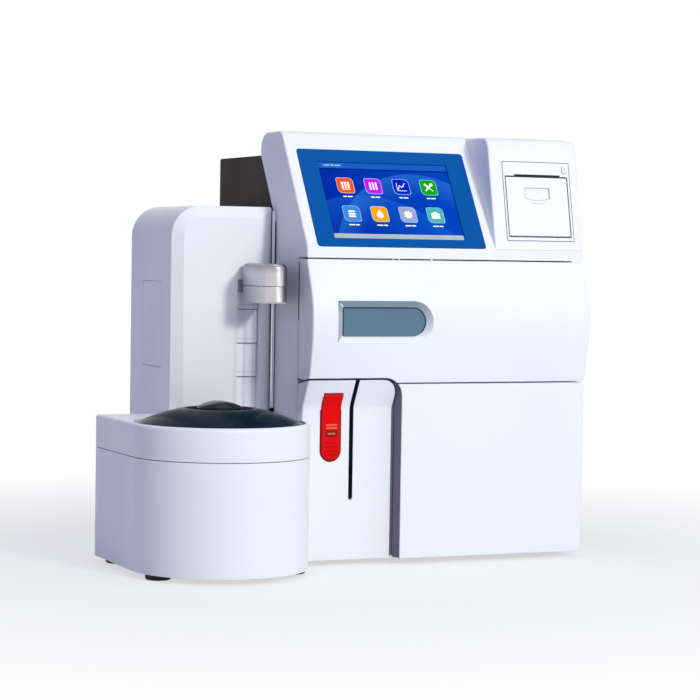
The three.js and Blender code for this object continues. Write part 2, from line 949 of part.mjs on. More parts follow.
function sampleColumn() {
  const inner = inset(columnCorners(), [-overrun, wall, wall, wall, wall]);
  const shell = cut(
    softened("x", columnCorners(), 0, alcoveRight + overrun, edgeRound),
    prism("x", outline(inner), wall, alcoveRight - alcoveStep - alcoveDraft - wall),
  );
  const backing = common(
    prism("x", outline(leverStrip(0, leverSunk + leverBacking, leverFoot - wall, leverTop + wall)),
      leverLeft - leverBacking - leverPinOverlap, leverLeft + leverWidth + leverBacking + leverPinOverlap),
    prism("y", outline(leverPlan(leverBacking + leverPinOverlap)), -overrun, doorBack + overrun),
  );
  const cheek = (x) =>
    box(
      [x, x + probeCheek],
      [columnFront, probePivotY + probeCheekWidth / 2],
      [probePivotZ - probeCheekWidth, probePivotZ + probeCheekWidth / 2],
    );
  const cheeks = common(
    join(cheek(slotLeft - probeCheek - fit), cheek(slotLeft + slotWidth + fit)),
    prism("x", outline([
      [columnAt(columnHead) + wall / 2, columnHead],
      [columnFront + wall / 2, columnBend],
      [columnFront + wall / 2, leverFoot],
      [probePivotY + probeCheekWidth, leverFoot],
      [probePivotY + probeCheekWidth, columnHead],
    ].reverse()), 0, alcoveRight),
  );
  const slot = outline([
    [slotLeft, slotFoot, slotWidth / 2],
    [slotLeft + slotWidth, slotFoot, slotWidth / 2],
    [slotLeft + slotWidth, columnHead + overrun],
    [slotLeft, columnHead + overrun],
  ]);
  const seat = common(
    prism("x", outline(leverStrip(overrun, leverSunk + fit, leverFoot - wall, leverTop + fit)),
      leverLeft - fit, leverLeft + leverWidth + fit),
    prism("y", outline(leverPlan(fit)), -overrun, doorBack),
  );
  return common(
    cut(
      join(shell, backing, cheeks),
      prism("y", slot, -overrun, columnFront + wall + fit),
      seat,
      rod("x", leverThickness / 2 + fit, leverPivotY, leverPivotZ, leverLeft - fit, leverRight + fit),
      rod("x", leverPinRadius + knuckleGap, leverPivotY, leverPivotZ,
        leverLeft - leverPinOverlap, leverLeft + leverWidth + leverPinOverlap, 12),
      rod("x", probePinRadius + knuckleGap, probePivotY, probePivotZ, leverRight, alcoveRight, 16),
    ),
    join(
      alcove(-alcoveStep),
      box(
        [0, alcoveRight - alcoveStep - alcoveDraft],
        [doorBack - overrun, probePivotY + probeCheekWidth],
        [0, columnSideTop],
      ),
    ),
  );
}

function statLever() {
  const strip = prism("x", outline(leverStrip(leverProud, leverSunk, leverFoot - wall, leverPivotZ)),
    leverLeft, leverLeft + leverWidth);
  const barrel = rod("x", leverThickness / 2, leverPivotY, leverPivotZ, leverLeft, leverRight, 20);
  const body = common(
    join(strip, barrel),
    prism("y", outline(leverPlan(0)), -overrun, doorBack),
  );
  const face = columnFront - leverProud;
  const ribs = Array.from({ length: leverRibs }, (_, i) => {
    const z = leverFoot + leverWidth / 4 + i * leverRibPitch;
    return box(
      [leverLeft + leverWidth / 5, leverLeft + (leverWidth * 4) / 5],
      [face - leverRibHeight, face + leverRibHeight],
      [z, z + leverRibWidth],
    );
  });
  return cut(
    join(body, ...ribs),
    rod("x", leverPinRadius + knuckleGap, leverPivotY, leverPivotZ, 0, alcoveRight, 12),
  );
}

function statLeverPin() {
  return rod("x", leverPinRadius, leverPivotY, leverPivotZ,
    leverLeft - leverPinOverlap + fit, leverLeft + leverWidth + leverPinOverlap - fit, 12);
}

function probeArm() {
  const half = probeArmThickness / 2;
  const arm = outline([
    [probePivotY - probeArmWidth / 2, probePivotZ - probeArmLength, probeArmWidth / 4],
    [probePivotY + probeArmWidth / 2, probePivotZ - probeArmLength, probeArmWidth / 4],
    [probePivotY + probeArmWidth / 2, probePivotZ + probeArmWidth / 2, probeArmWidth / 2],
    [probePivotY - probeArmWidth / 2, probePivotZ + probeArmWidth / 2, probeArmWidth / 2],
  ]);
  return cut(
    prism("x", arm, slotMiddle - half, slotMiddle + half),
    rod("x", probePinRadius + knuckleGap, probePivotY, probePivotZ, 0, alcoveRight, 16),
    rod("z", probeTubeRadius + knuckleGap, slotMiddle, probePivotY,
      probePivotZ - probeArmLength - overrun, probePivotZ - probeArmLength * probeSocketShare, 10),
  );
}

function probeTube() {
  const foot = probePivotZ - probeArmLength - probeTubeLength;
  const head = probePivotZ - probeArmLength * probeSocketShare - fit;
  return rod("z", probeTubeRadius, slotMiddle, probePivotY, foot, head, 10);
}

function probePin() {
  const reach = slotWidth / 2 + probeCheek + fit;
  return rod("x", probePinRadius, probePivotY, probePivotZ, slotMiddle - reach, slotMiddle + reach, 16);
}

// Screen parts on the slope
const bezelCorners = rectangle(bezelLeft, bezelBottom, bezelRight, bezelTop, bezelRound);

function screenBezel() {
  const low = bezelProud - bezelThickness;
  const window = rectangle(screenLeft, screenBottom, screenLeft + screenWidth, screenBottom + screenHeight);
  return cut(
    onFace(slope, outline(bezelCorners), low, bezelProud),
    onFace(slope, outline(window), -overrun, overrun),
  );
}

function touchScreen() {
  const pane = inset(
    rectangle(screenLeft, screenBottom, screenLeft + screenWidth, screenBottom + screenHeight),
    fit,
  );
  return onFace(slope, outline(pane), -screenSunk - screenThickness, -screenSunk);
}

function displayModule() {
  const frame = rectangle(
    screenLeft - displayMargin,
    screenBottom - displayMargin,
    screenLeft + screenWidth + displayMargin,
    screenBottom + screenHeight + displayMargin,
    displayRound,
  );
  return onFace(slope, outline(frame), -wall - fit - displayDepth, -wall - fit);
}

// Rear cover, back panel and base plate
function coverCorners() {
  const backline = (z) => slopeAt(z) + headSpan + fit / Math.cos(screenLean);
  const front = shellRear + fit;
  return [
    [front, 0],
    [coverRear, 0],
    [coverRear, coverTop, coverRound],
    [backline(coverTop), coverTop],
    [front, kneeZ + ((front - backline(kneeZ)) / Math.tan(screenLean))],
  ];
}

function rearCover() {
  const inner = inset(coverCorners(), [-overrun, -overrun, coverSheet, -overrun, -overrun]);
  const side = coverInset + coverSheet;
  const louvres = [];
  for (let i = 0; i < louvreCount; i += 1) {
    const y = coverRear - louvrePitch * (i + 3);
    louvres.push(
      prism("x", outline(rectangle(y, louvreFoot, y + louvreWidth, louvreFoot + louvreHeight)),
        -overrun, unitWidth + overrun),
    );
  }
  return cut(
    softened("x", coverCorners(), coverInset, unitWidth - coverInset, coverSheet / 2, 2),
    prism("x", outline(inner), side, unitWidth - side),
    ...louvres,
  );
}

const panelSide = coverInset + coverSheet + fit;
const rockerZ = inletZ + rockerRise;
const socketZ = inletZ - socketDrop;

function backPanel() {
  const slots = [];
  for (let i = 0; i < grilleCount; i += 1) {
    const x = grillePitch * (i - (grilleCount - 1) / 2);
    const half = Math.sqrt(grilleRadius ** 2 - x ** 2);
    slots.push(
      prism("y", outline(rectangle(grilleX + x - grilleWidth / 2, grilleZ - half,
        grilleX + x + grilleWidth / 2, grilleZ + half, grilleWidth / 2)),
      coverRear - overrun, coverRear + overrun),
    );
  }
  return cut(
    box(
      [panelSide, unitWidth - panelSide],
      [coverRear - panelSheet, coverRear - fit],
      [basePlate + fit, coverTop - coverSheet - fit],
    ),
    box(
      [inletX - inletWidth / 2 + wall - fit, inletX + inletWidth / 2 - wall + fit],
      [coverRear - overrun, coverRear + overrun],
      [inletZ - inletHeight / 2 + wall - fit, inletZ + inletHeight / 2 - wall + fit],
    ),
    ...slots,
  );
}

function powerInlet() {
  const back = coverRear - fit;
  const socket = outline(rectangle(inletX - socketWidth / 2, socketZ - socketHeight / 2,
    inletX + socketWidth / 2, socketZ + socketHeight / 2, socketRound));
  const contacts = [-1, 0, 1].map((place) =>
    box(
      [inletX + place * contactPitch - contactWidth / 2, inletX + place * contactPitch + contactWidth / 2],
      [back - socketDepth - contactWidth, back - inletFlange],
      [socketZ - contactLength / 2, socketZ + contactLength / 2],
    ));
  const well = box(
    [inletX - rockerWidth / 2 - fit, inletX + rockerWidth / 2 + fit],
    [back - socketDepth, back + overrun],
    [rockerZ - rockerHeight / 2 - fit, rockerZ + rockerHeight / 2 + fit],
  );
  const plate = outline(rectangle(
    inletX - inletWidth / 2,
    inletZ - inletHeight / 2,
    inletX + inletWidth / 2,
    inletZ + inletHeight / 2,
    wall,
  ));
  return join(
    cut(
      join(
        prism("y", plate, back + fit / 2, back + fit / 2 + inletProud),
        box(
          [inletX - inletWidth / 2 + wall, inletX + inletWidth / 2 - wall],
          [back - inletDepth, back + inletProud],
          [inletZ - inletHeight / 2 + wall, inletZ + inletHeight / 2 - wall],
        ),
      ),
      prism("y", socket, back - socketDepth, back + overrun),
      well,
    ),
    ...contacts,
  );
}

// Rocker that pivots on its middle, drawn tipped to its lower side
function powerSwitch() {
  const back = coverRear - fit + inletProud;
  const half = rockerHeight / 2;
  const tip = Math.tan(THREE.MathUtils.degToRad(rockerAngle)) * half;
  const profile = outline([
    [back - rockerDepth, rockerZ - half + tip],
    [back - rockerDepth, rockerZ + half - tip],
    [back + tip, rockerZ + half - 2 * fit],
    [back - tip / 2, rockerZ],
    [back - tip, rockerZ - half + 2 * fit],
  ].reverse());
  return prism("x", profile, inletX - rockerWidth / 2, inletX + rockerWidth / 2);
}

function basePlateSolid() {
  const side = wall + fit;
  return box([side, unitWidth - side], [seamBack + side, coverRear - panelSheet - fit], [0, basePlate]);
}

function foot(x, y) {
  return turned(
    [
      [0, -footHeight],
      [footRadius - footTaper, -footHeight],
      [footRadius, -footHeight + footTaper],
      [footRadius, -fit],
      [0, -fit],
    ],
    x,
    y,
  );
}

// Sheet frame behind the doors: front panel, shelf over the reagent bay and the bay's left wall
function innerFrame() {
  const side = wall + fit;
  return join(
    box([side, unitWidth - side], [frameY, frameY + frameSheet], [shelfZ, frameTop]),
    box([side, unitWidth - side], [frameY, frameY + frameDepth], [shelfZ, shelfZ + frameSheet]),
    box(
      [alcoveRight + fit, alcoveRight + fit + frameSheet],
      [frameY, frameY + frameDepth],
      [basePlate + fit, shelfZ + frameSheet],
    ),
  );
}

// Electrode module
const blockY = frameY - fit - blockDepth;

function electrodeX(i) {
  return blockLeft + blockWidth / 2 + electrodePitch * (i - (electrodeCount - 1) / 2);
}

function electrodeBlock() {
  const top = blockFoot + blockHeight;
  const seats = Array.from({ length: electrodeCount }, (_, i) =>
    rod("z", electrodeNeck + fit, electrodeX(i), blockY + blockDepth / 2,
      top - electrodeSeat - fit, top + overrun));
  return cut(
    prism("z", outline(rectangle(blockLeft, blockY, blockLeft + blockWidth, blockY + blockDepth, fit * 5)),
      blockFoot, top),
    ...seats,
  );
}

function electrode(i) {
  const top = blockFoot + blockHeight;
  const cap = top + fit + electrodeHeight;
  return turned(
    [
      [0, top - electrodeSeat],
      [electrodeNeck, top - electrodeSeat],
      [electrodeNeck, top + fit],
      [electrodeRadius, top + fit],
      [electrodeRadius, cap],
      [electrodeCapRadius, cap],
      [electrodeCapRadius, cap + electrodeCapHeight],
      [electrodeNeck, cap + electrodeCapHeight],
      [electrodeNeck, cap + electrodeCapHeight + electrodeNeck],
      [0, cap + electrodeCapHeight + electrodeNeck],
    ],
    electrodeX(i),
    blockY + blockDepth / 2,
  );
}

// Peristaltic pump: track housing open to the front, rotor with rollers
const pumpY = frameY - fit - pumpDepth - pumpPlate;

function pumpHousing() {
  const side = pumpRadius;
  return cut(
    prism("y", outline(rectangle(pumpX - side, pumpZ - side, pumpX + side, pumpZ + side, wall * 2)),
      pumpY, frameY - fit),
    rod("y", pumpTrack, pumpX, pumpZ, pumpY - overrun, frameY - fit - pumpPlate),
    box([pumpX - pumpTrack, pumpX + pumpTrack], [pumpY - overrun, frameY - fit - pumpPlate],
      [pumpZ - side - overrun, pumpZ]),
    rod("y", rotorShaft + fit, pumpX, pumpZ, pumpY, frameY, 16),
  );
}

function pumpRotor() {
  const back = frameY - fit - pumpPlate - fit;
  const rollers = Array.from({ length: rollerCount }, (_, i) => {
    const angle = (2 * Math.PI * i) / rollerCount + Math.PI / 4;
    return rod("y", rollerRadius, pumpX + rollerOrbit * Math.cos(angle),
      pumpZ + rollerOrbit * Math.sin(angle), back - rotorDepth, back, 14);
  });
  return join(
    rod("y", rotorRadius, pumpX, pumpZ, back - rotorDepth + wall / 2, back - wall / 2),
    rod("y", rotorHub, pumpX, pumpZ, back - rotorDepth - wall, back - wall),
    rod("y", rotorShaft, pumpX, pumpZ, back - wall, frameY - fit * 2, 16),
    ...rollers,
  );
}

// Reagent pack with a finger recess and tubing necks along its top
function reagentPack() {
  const left = alcoveRight + fit + frameSheet + packMargin;
  const right = unitWidth - wall - packMargin - returnFlange;
  const foot = basePlate + fit;
  const head = shelfZ - packNeckHeight - packMargin;
  const middle = (left + right) / 2;
  const grip = outline(rectangle(middle - packGripWidth / 2, head - packHead * 2 - packGripHeight,
    middle + packGripWidth / 2, head - packHead * 2, packRound));
  const pitch = (right - left) / packNeckCount;
  const necks = Array.from({ length: packNeckCount }, (_, i) =>
    rod("z", packNeckRadius, left + pitch * (i + 0.5), packFront + packDepth / 3, head - packHead,
      head + packNeckHeight, 18));
  return join(
    cut(
      softened("y", rectangle(left, foot, right, head, packRound),
        packFront, packFront + packDepth, wall / 2),
      prism("y", grip, packFront - overrun, packFront + packGripDepth),
    ),
    ...necks,
  );
}

// Paper printer
const paperHinge = (x) => {
  const lean = printerLean;
  const inward = axis(0, Math.cos(lean), -Math.sin(lean));
  const down = axis(0, -Math.sin(lean), -Math.cos(lean));
  const place = axis(x + knuckleLength, paperDoorBottom + hingeInset, -hingeInset).applyMatrix4(printerFace);
  return new THREE.Matrix4().makeBasis(inward, down, axis(-1, 0, 0)).setPosition(place);
};
const paperHingeInset = 16;
const paperHingeLeft = paperDoorLeft + paperHingeInset;
const paperHingeRight = paperDoorRight - paperHingeInset - knuckleLength;
const paperHinges = [paperHingeLeft, paperHingeRight].map(paperHinge);
const paperRod = [paperDoorLeft + paperHingeInset - lugLength, paperDoorRight - paperHingeInset + lugLength];

function faceRod(frame, radius, up, out, low, high, sides = 0) {
  return moved(rod("x", radius, 0, 0, low, high, sides), new THREE.Matrix4().setPosition(
    axis(0, up, out).applyMatrix4(frame),
  ));
}

const tubFoot = paperDoorBottom - seam;
const tubHead = paperDoorTop + seam / 1.5;

function printerFrame() {
  const side = fit;
  const plate = inset(rectangle(outletLeft, outletBottom, outletRight, outletTop, outletRound), side);
  const mouth = rectangle(paperDoorLeft - side, tubFoot, paperDoorRight + side, tubHead);
  const slotRight = paperSlotLeft + paperSlotWidth;
  const slot = rectangle(paperSlotLeft, paperDoorTop, slotRight, tubHead + paperSlotHeight / 2);
  return cut(
    join(
      cut(
        join(
          onFace(printerFace, outline(plate), -wall, fit / 2),
          onFace(printerFace, outline(inset(mouth, -tubWall)), -tubDepth, -wall / 2),
        ),
        onFace(printerFace, outline(mouth), -tubDepth + tubWall, overrun),
      ),
      ...paperHinges.map(knuckle),
    ),
    onFace(printerFace, outline(slot), -wall * 2, overrun),
    onFace(printerFace, outline(feedCorners(knuckleGap)), -overrun, overrun),
  );
}

function feedCorners(margin) {
  const across = feedWidth / 2 + margin;
  const up = feedLength / 2 + margin;
  return rectangle(feedX - across, feedUp - up, feedX + across, feedUp + up, feedRound);
}

function printerDoor() {
  const plate = outline(rectangle(paperDoorLeft, paperDoorBottom, paperDoorRight, paperDoorTop, fit));
  const middle = (paperDoorLeft + paperDoorRight) / 2;
  const grip = outline([
    [middle - gripWidth / 2, gripTop - gripHeight],
    [middle - gripWidth / 4, gripTop - gripHeight - gripBelly / 2, gripBelly],
    [middle + gripWidth / 4, gripTop - gripHeight - gripBelly / 2, gripBelly],
    [middle + gripWidth / 2, gripTop - gripHeight],
    [middle + gripWidth / 2, gripTop],
    [middle - gripWidth / 2, gripTop],
  ]);
  const cheek = (x) =>
    onFace(printerFace, outline(rectangle(x, platenHeight - cheekRise, x + cheekThickness,
      platenHeight + cheekRise, fit)), -platenBehind - cheekRise, -wall / 2);
  const reach = rollWidth / 2 + fit * 2;
  return cut(
    join(
      onFace(printerFace, plate, -paperDoorThickness, 0),
      cheek(middle - reach - cheekThickness),
      cheek(middle + reach),
      ...paperHinges.map(lugs),
    ),
    onFace(printerFace, grip, -gripDepth, overrun),
    ...paperHinges.map(knuckleRoom),
    faceRod(printerFace, hingeBore, paperDoorBottom + hingeInset, -hingeInset,
      paperRod[0] - fit, paperRod[1] + fit, 12),
    faceRod(printerFace, platenShaft + knuckleGap, platenHeight, -platenBehind, 0, unitWidth, 16),
  );
}

function platenRoller() {
  const middle = (paperDoorLeft + paperDoorRight) / 2;
  const half = rollWidth / 2;
  const shaft = half + fit * 2 + cheekThickness;
  return join(
    faceRod(printerFace, platenRadius, platenHeight, -platenBehind, middle - half, middle + half, 24),
    faceRod(printerFace, platenShaft, platenHeight, -platenBehind, middle - shaft, middle + shaft, 16),
  );
}

function paperRoll() {
  const middle = (paperDoorLeft + paperDoorRight) / 2;
  const up = tubFoot + fit + rollRadius;
  const out = -tubDepth + tubWall + fit + rollRadius;
  return cut(
    faceRod(printerFace, rollRadius, up, out, middle - rollWidth / 2, middle + rollWidth / 2, 36),
    faceRod(printerFace, rollCore, up, out, 0, unitWidth, 18),
  );
}

function feedButton() {
  const back = -wall - fit;
  return join(
    onFace(printerFace, outline(feedCorners(0)), back - feedFlange / 2, feedProud, fit),
    onFace(printerFace, outline(feedCorners(feedFlange)), back - feedFlange, back),
  );
}

// Sample changer: round at the front, straight sides to the back
function changerCorners(gap = 0) {
  const half = changerRadius - gap;
  return [
    [changerX - half, changerRear - gap, Math.max(0, changerRearRound - gap)],
    [changerX - half, changerY - half, half],
    [changerX + half, changerY - half, half],
    [changerX + half, changerRear - gap, Math.max(0, changerRearRound - gap)],
  ];
}

function changerBase() {
  const seamFoot = changerSeam - changerSeamGap;
  const boss = rod("z", motorRadius + wall, changerX, changerY, wall / 2, wall * 2);
  return cut(
    join(
      cut(
        prism("z", outline(changerCorners()), 0, seamFoot),
        prism("z", outline(changerCorners(wall)), wall, seamFoot + overrun),
      ),
      boss,
    ),
    rod("z", motorRadius + fit, changerX, changerY, wall, overrun),
  );
}

function changerCover() {
  const low = changerSeam;
  const rounded = softened("z", changerCorners(), low - changerTopRound * 2, changerTop, changerTopRound, 4);
  const skirt = cut(
    rounded,
    box(
      [changerX - changerRadius * 2, changerX + changerRadius * 2],
      [-changerRadius * 2, changerRear * 2],
      [0, low],
    ),
    prism("z", outline(changerCorners(wall)), 0, changerTop - wall),
  );
  const tub = rod("z", rimRadius + wall / 2, changerX, changerY, wellFloor - wall, changerTop - wall / 2);
  const tongue = prism("z", outline(changerCorners(wall + fit)), changerSeam - wall * 2, changerSeam + wall);
  const tongueHollow = prism("z", outline(changerCorners(wall * 2)), 0, changerTop - wall);
  return cut(
    join(
      cut(join(skirt, tongue), tongueHollow),
      common(tub, prism("z", outline(changerCorners(wall / 2)), 0, changerTop)),
    ),
    rod("z", wellRadius, changerX, changerY, wellFloor, changerTop + overrun),
    rod("z", rimRadius, changerX, changerY, wellLedge, changerTop + overrun),
    rod("z", driveShaftRadius + fit, changerX, changerY, 0, changerTop, 18),
  );
}

// Dome height at a distance from the lid's centre, measured over the rim
const domeRadius = (lidRadius ** 2 + lidRise ** 2) / (2 * lidRise);
const lidFoot = wellLedge + fit;

function domeAt(radius) {
  return lidFoot + lidRim + lidRise - domeRadius + Math.sqrt(domeRadius ** 2 - radius ** 2);
}

const needlePlace = Math.hypot(armX - changerX, needleY - changerY);
const needleAngle = Math.atan2(needleY - changerY, armX - changerX);

function domeLid() {
  const floor = domeAt(dishRadius) - dishDepth;
  const top = lidRingShares.map((share) => [lidRadius * share, domeAt(lidRadius * share)]);
  const under = lidRingShares.slice(1).map((share) => {
    return [(lidRadius - lidWall) * share, domeAt(lidRadius * share) - lidWall];
  });
  const profile = [
    [0, floor - lidWall],
    [dishRadius + lidWall, floor - lidWall],
    ...under.reverse(),
    [lidRadius - lidWall, lidFoot],
    [lidRadius, lidFoot],
    ...top,
    [dishRadius + wall, domeAt(dishRadius + wall)],
    [dishRadius, domeAt(dishRadius) - fit],
    [dishRadius - wall, floor],
    [0, floor],
  ];
  return cut(
    turned(profile, changerX, changerY),
    rod("z", needleHole, armX, needleY, lidFoot, changerTop * 2, 20),
  );
}

// Grip of the lid: a round knob whose top is a ridge that runs from front to back
function lidKnob() {
  const foot = domeAt(dishRadius) - dishDepth + fit;
  const roof = outline([
    [changerX - knobRadius, foot],
    [changerX + knobRadius, foot],
    [changerX + knobRadius, foot + knobEdge],
    [changerX + knobRadius / 2, foot + knobRise * knobRidgeShare, knobRadius],
    [changerX, foot + knobRise],
    [changerX - knobRadius / 2, foot + knobRise * knobRidgeShare, knobRadius],
    [changerX - knobRadius, foot + knobEdge],
  ]);
  return common(
    prism("y", roof, changerY - knobRadius, changerY + knobRadius),
    turned(
      [
        [0, foot],
        [knobRadius - knobWaist, foot],
        [knobRadius, foot + knobEdge],
        [knobRadius * knobShoulderShare, foot + knobRise * knobShoulderRiseShare],
        [knobRadius * knobCrownShare, foot + knobRise],
        [0, foot + knobRise],
      ],
      changerX,
      changerY,
    ),
  );
}

// Sample disk: a ring of cups, filled to just under the rim, and one free hole below the needle
const diskFoot = wellFloor + diskLift;
const cupFoot = diskFoot + diskThickness;

function sampleDisk() {
  const head = cupFoot + cupHeight;
  const cups = Array.from({ length: cupPlaces - 1 }, (_, i) => {
    const angle = needleAngle + (2 * Math.PI * (i + 1)) / cupPlaces;
    const x = changerX + needlePlace * Math.cos(angle);
    const y = changerY + needlePlace * Math.sin(angle);
    return rod("z", cupRadius - cupWall, x, y, cupFoot + cupWall, head + overrun, cupSides);
  });
  const hub = rod("z", hubRadius, changerX, changerY, diskFoot, cupFoot + hubHeight);
  const ring = cut(
    rod("z", diskRadius, changerX, changerY, diskFoot, head),
    rod("z", needlePlace - cupRadius, changerX, changerY, cupFoot, head + overrun),
  );
  return cut(
    join(ring, hub),
    ...cups,
    rod("z", cupRadius - cupWall, armX, needleY, 0, changerTop, cupSides),
    rod("z", driveShaftRadius + knuckleGap, changerX, changerY, 0, cupFoot + hubHeight - wall, 18),
  );
}

const motorTop = wall * 2 + motorHeight;

function diskShaft() {
  return rod("z", driveShaftRadius, changerX, changerY,
    motorTop - motorHeight / 2, cupFoot + hubHeight - wall - fit, 18);
}

function diskMotor() {
  return cut(
    join(
      rod("z", motorRadius, changerX, changerY, wall + fit, motorTop),
      rod("z", motorRadius / 2, changerX, changerY, motorTop - motorFlange, motorTop + motorFlange),
    ),
    rod("z", driveShaftRadius + knuckleGap, changerX, changerY,
      motorTop - motorHeight / 2 - fit, changerTop, 18),
  );
}

// Tower: rounded shoulder, bevelled front, channel for the arm, open towards the analyzer
function towerCorners(gap = 0, round = towerRound) {
  return [
    [towerLeft + gap, -overrun],
    [towerRight - gap, -overrun],
    [towerRight - gap, towerTop - gap, Math.max(towerRightRound - gap, fit)],
    [towerLeft + gap, towerTop - gap, round],
  ];
}

const towerFoot = changerTop + fit;

function towerShell() {
  const steps = 8;
  const face = loft(
    "y",
    outline(towerCorners(towerBevel, towerRound - towerBevel), steps),
    towerFront,
    outline(towerCorners(), steps),
    towerFront + towerBevelDepth,
  );
  const block = prism("y", outline(towerCorners(), steps), towerFront + towerBevelDepth, towerRear);
  const body = join(face, block);
  const broad = [towerLeft - overrun, towerRight + overrun];
  const stance = join(
    box(broad, [towerFront - overrun, changerRear + fit], [-overrun * 2, towerFoot]),
    box(broad, [changerRear, towerRear + overrun], [-overrun * 2, 0]),
  );
  const hollow = box(
    [towerLeft + wall, towerRight + overrun],
    [towerFront + channelDepth, towerRear - wall],
    [changerTop + wall * 2, towerTop - towerRound],
  );
  const lowerHollow = box(
    [towerLeft + wall, towerRight + overrun],
    [changerRear + fit + wall, towerRear - wall],
    [wall, towerTop - towerRound],
  );
  const channel = box(
    [channelLeft, channelLeft + channelWidth],
    [towerFront - overrun, towerFront + channelDepth + fit],
    [towerFoot - overrun, channelTop],
  );
  const hatch = box(
    [towerLeft - overrun, towerLeft + hatchThickness + fit],
    [hatchFront - hatchGap, hatchRear + hatchGap],
    [hatchFoot - hatchGap, hatchHead + hatchGap],
  );
  const pad = box(
    [towerRight - wall, coverInset - fit],
    [towerFront + channelDepth - wall, towerRear - wall / 2],
    [dockFoot, dockFoot + dockHeight],
  );
  return join(
    cut(body, stance, hollow, lowerHollow, channel, hatch),
    pad,
    prism("z", shutterOutline(shutterCount - 1, -wall), towerFoot,
      shutterFoot(shutterCount - 2) + shutterOverlap),
  );
}

function sideHatch() {
  return box([towerLeft, towerLeft + hatchThickness], [hatchFront, hatchRear], [hatchFoot, hatchHead]);
}

// Shutters: overlapping sheets with an upright rib, each one further back than the one above.
// The last one is fixed and part of the tower.
function shutterOutline(level, side) {
  const front = towerFront + shutterSink + ribRise + level * (shutterSheet + shutterGap);
  const back = front + shutterSheet;
  const left = channelLeft + side;
  const right = channelLeft + channelWidth - side;
  return outline([
    [left, front],
    [armX - ribHalfWidth, front],
    [armX - ribHalfWidth / 2, front - ribRise, ribRise],
    [armX + ribHalfWidth / 2, front - ribRise, ribRise],
    [armX + ribHalfWidth, front],
    [right, front],
    [right, back],
    [armX + ribHalfWidth, back],
    [armX + ribHalfWidth / 2, back - ribRise, ribRise],
    [armX - ribHalfWidth / 2, back - ribRise, ribRise],
    [armX - ribHalfWidth, back],
    [left, back],
  ]);
}

function shutterFoot(level) {
  return shutterHighest - shutterPitch * level;
}

function shutter(level) {
  const head = level === 0 ? neckFoot - fit : shutterFoot(level - 1) + shutterOverlap;
  return prism("z", shutterOutline(level, shutterSide), shutterFoot(level), head);
}

// Sampling arm in two halves, round at the front
function armPlan(gap = 0) {
  const half = armHalfWidth - gap;
  return [
    [armX - half, armCentreY - half, half],
    [armX + half, armCentreY - half, half],
    [armX + half, armRear - gap],
    [armX - half, armRear - gap],
  ];
}

function armUpper() {
  const low = armSplit + armSplitGap / 2;
  const rounded = prism("z", outline(armPlan()), low - armTopRound * 2, armHead, armTopRound, 4);
  return cut(
    rounded,
    box(
      [armX - armHalfWidth * 2, armX + armHalfWidth * 2],
      [armCentreY - armHalfWidth * 2, towerRear],
      [0, low],
    ),
    prism("z", outline(armPlan(wall)), 0, armHead - wall),
  );
}

function armLower() {
  const high = armSplit - armSplitGap / 2;
  const body = cut(
    prism("z", outline(armPlan()), armFoot, high),
    prism("z", outline(armPlan(wall)), armFoot + wall, high + overrun),
    box(
      [armX - armHalfWidth * 2, armX + armHalfWidth * 2],
      [armCentreY - armHalfWidth * 2, armCentreY],
      [0, armFoot + armNoseStep],
    ),
  );
  const neck = box(
    [armX - neckHalfWidth, armX + neckHalfWidth],
    [armRear - wall * 2, carriageFront + wall],
    [neckFoot, neckHead],
  );
  const carriage = box(
    [armX - armHalfWidth, armX + armHalfWidth],
    [carriageFront, carriageFront + carriageDepth],
    [carriageMiddle - carriageHeight / 2, carriageMiddle + carriageHeight / 2],
  );
  const holder = rod("z", needleRadius * 4, armX, needleY, armFoot, high - fit, 16);
  return cut(
    join(body, neck, carriage, holder),
    rod("z", needleRadius + knuckleGap, armX, needleY, 0, armHead, 10),
    rod("z", liftRodRadius + knuckleGap, armX, carriageFront + carriageDepth / 2, 0, towerTop, 18),
  );
}

const carriageFront = towerFront + channelDepth + wall;
const carriageMiddle = (neckFoot + neckHead) / 2;

function liftRod() {
  return rod("z", liftRodRadius, armX, carriageFront + carriageDepth / 2,
    changerTop + wall * 2 + fit, towerTop - towerRound - fit, 18);
}

function samplerNeedle() {
  return rod("z", needleRadius, armX, needleY, needleTip, armSplit - armSplitGap, 10);
}

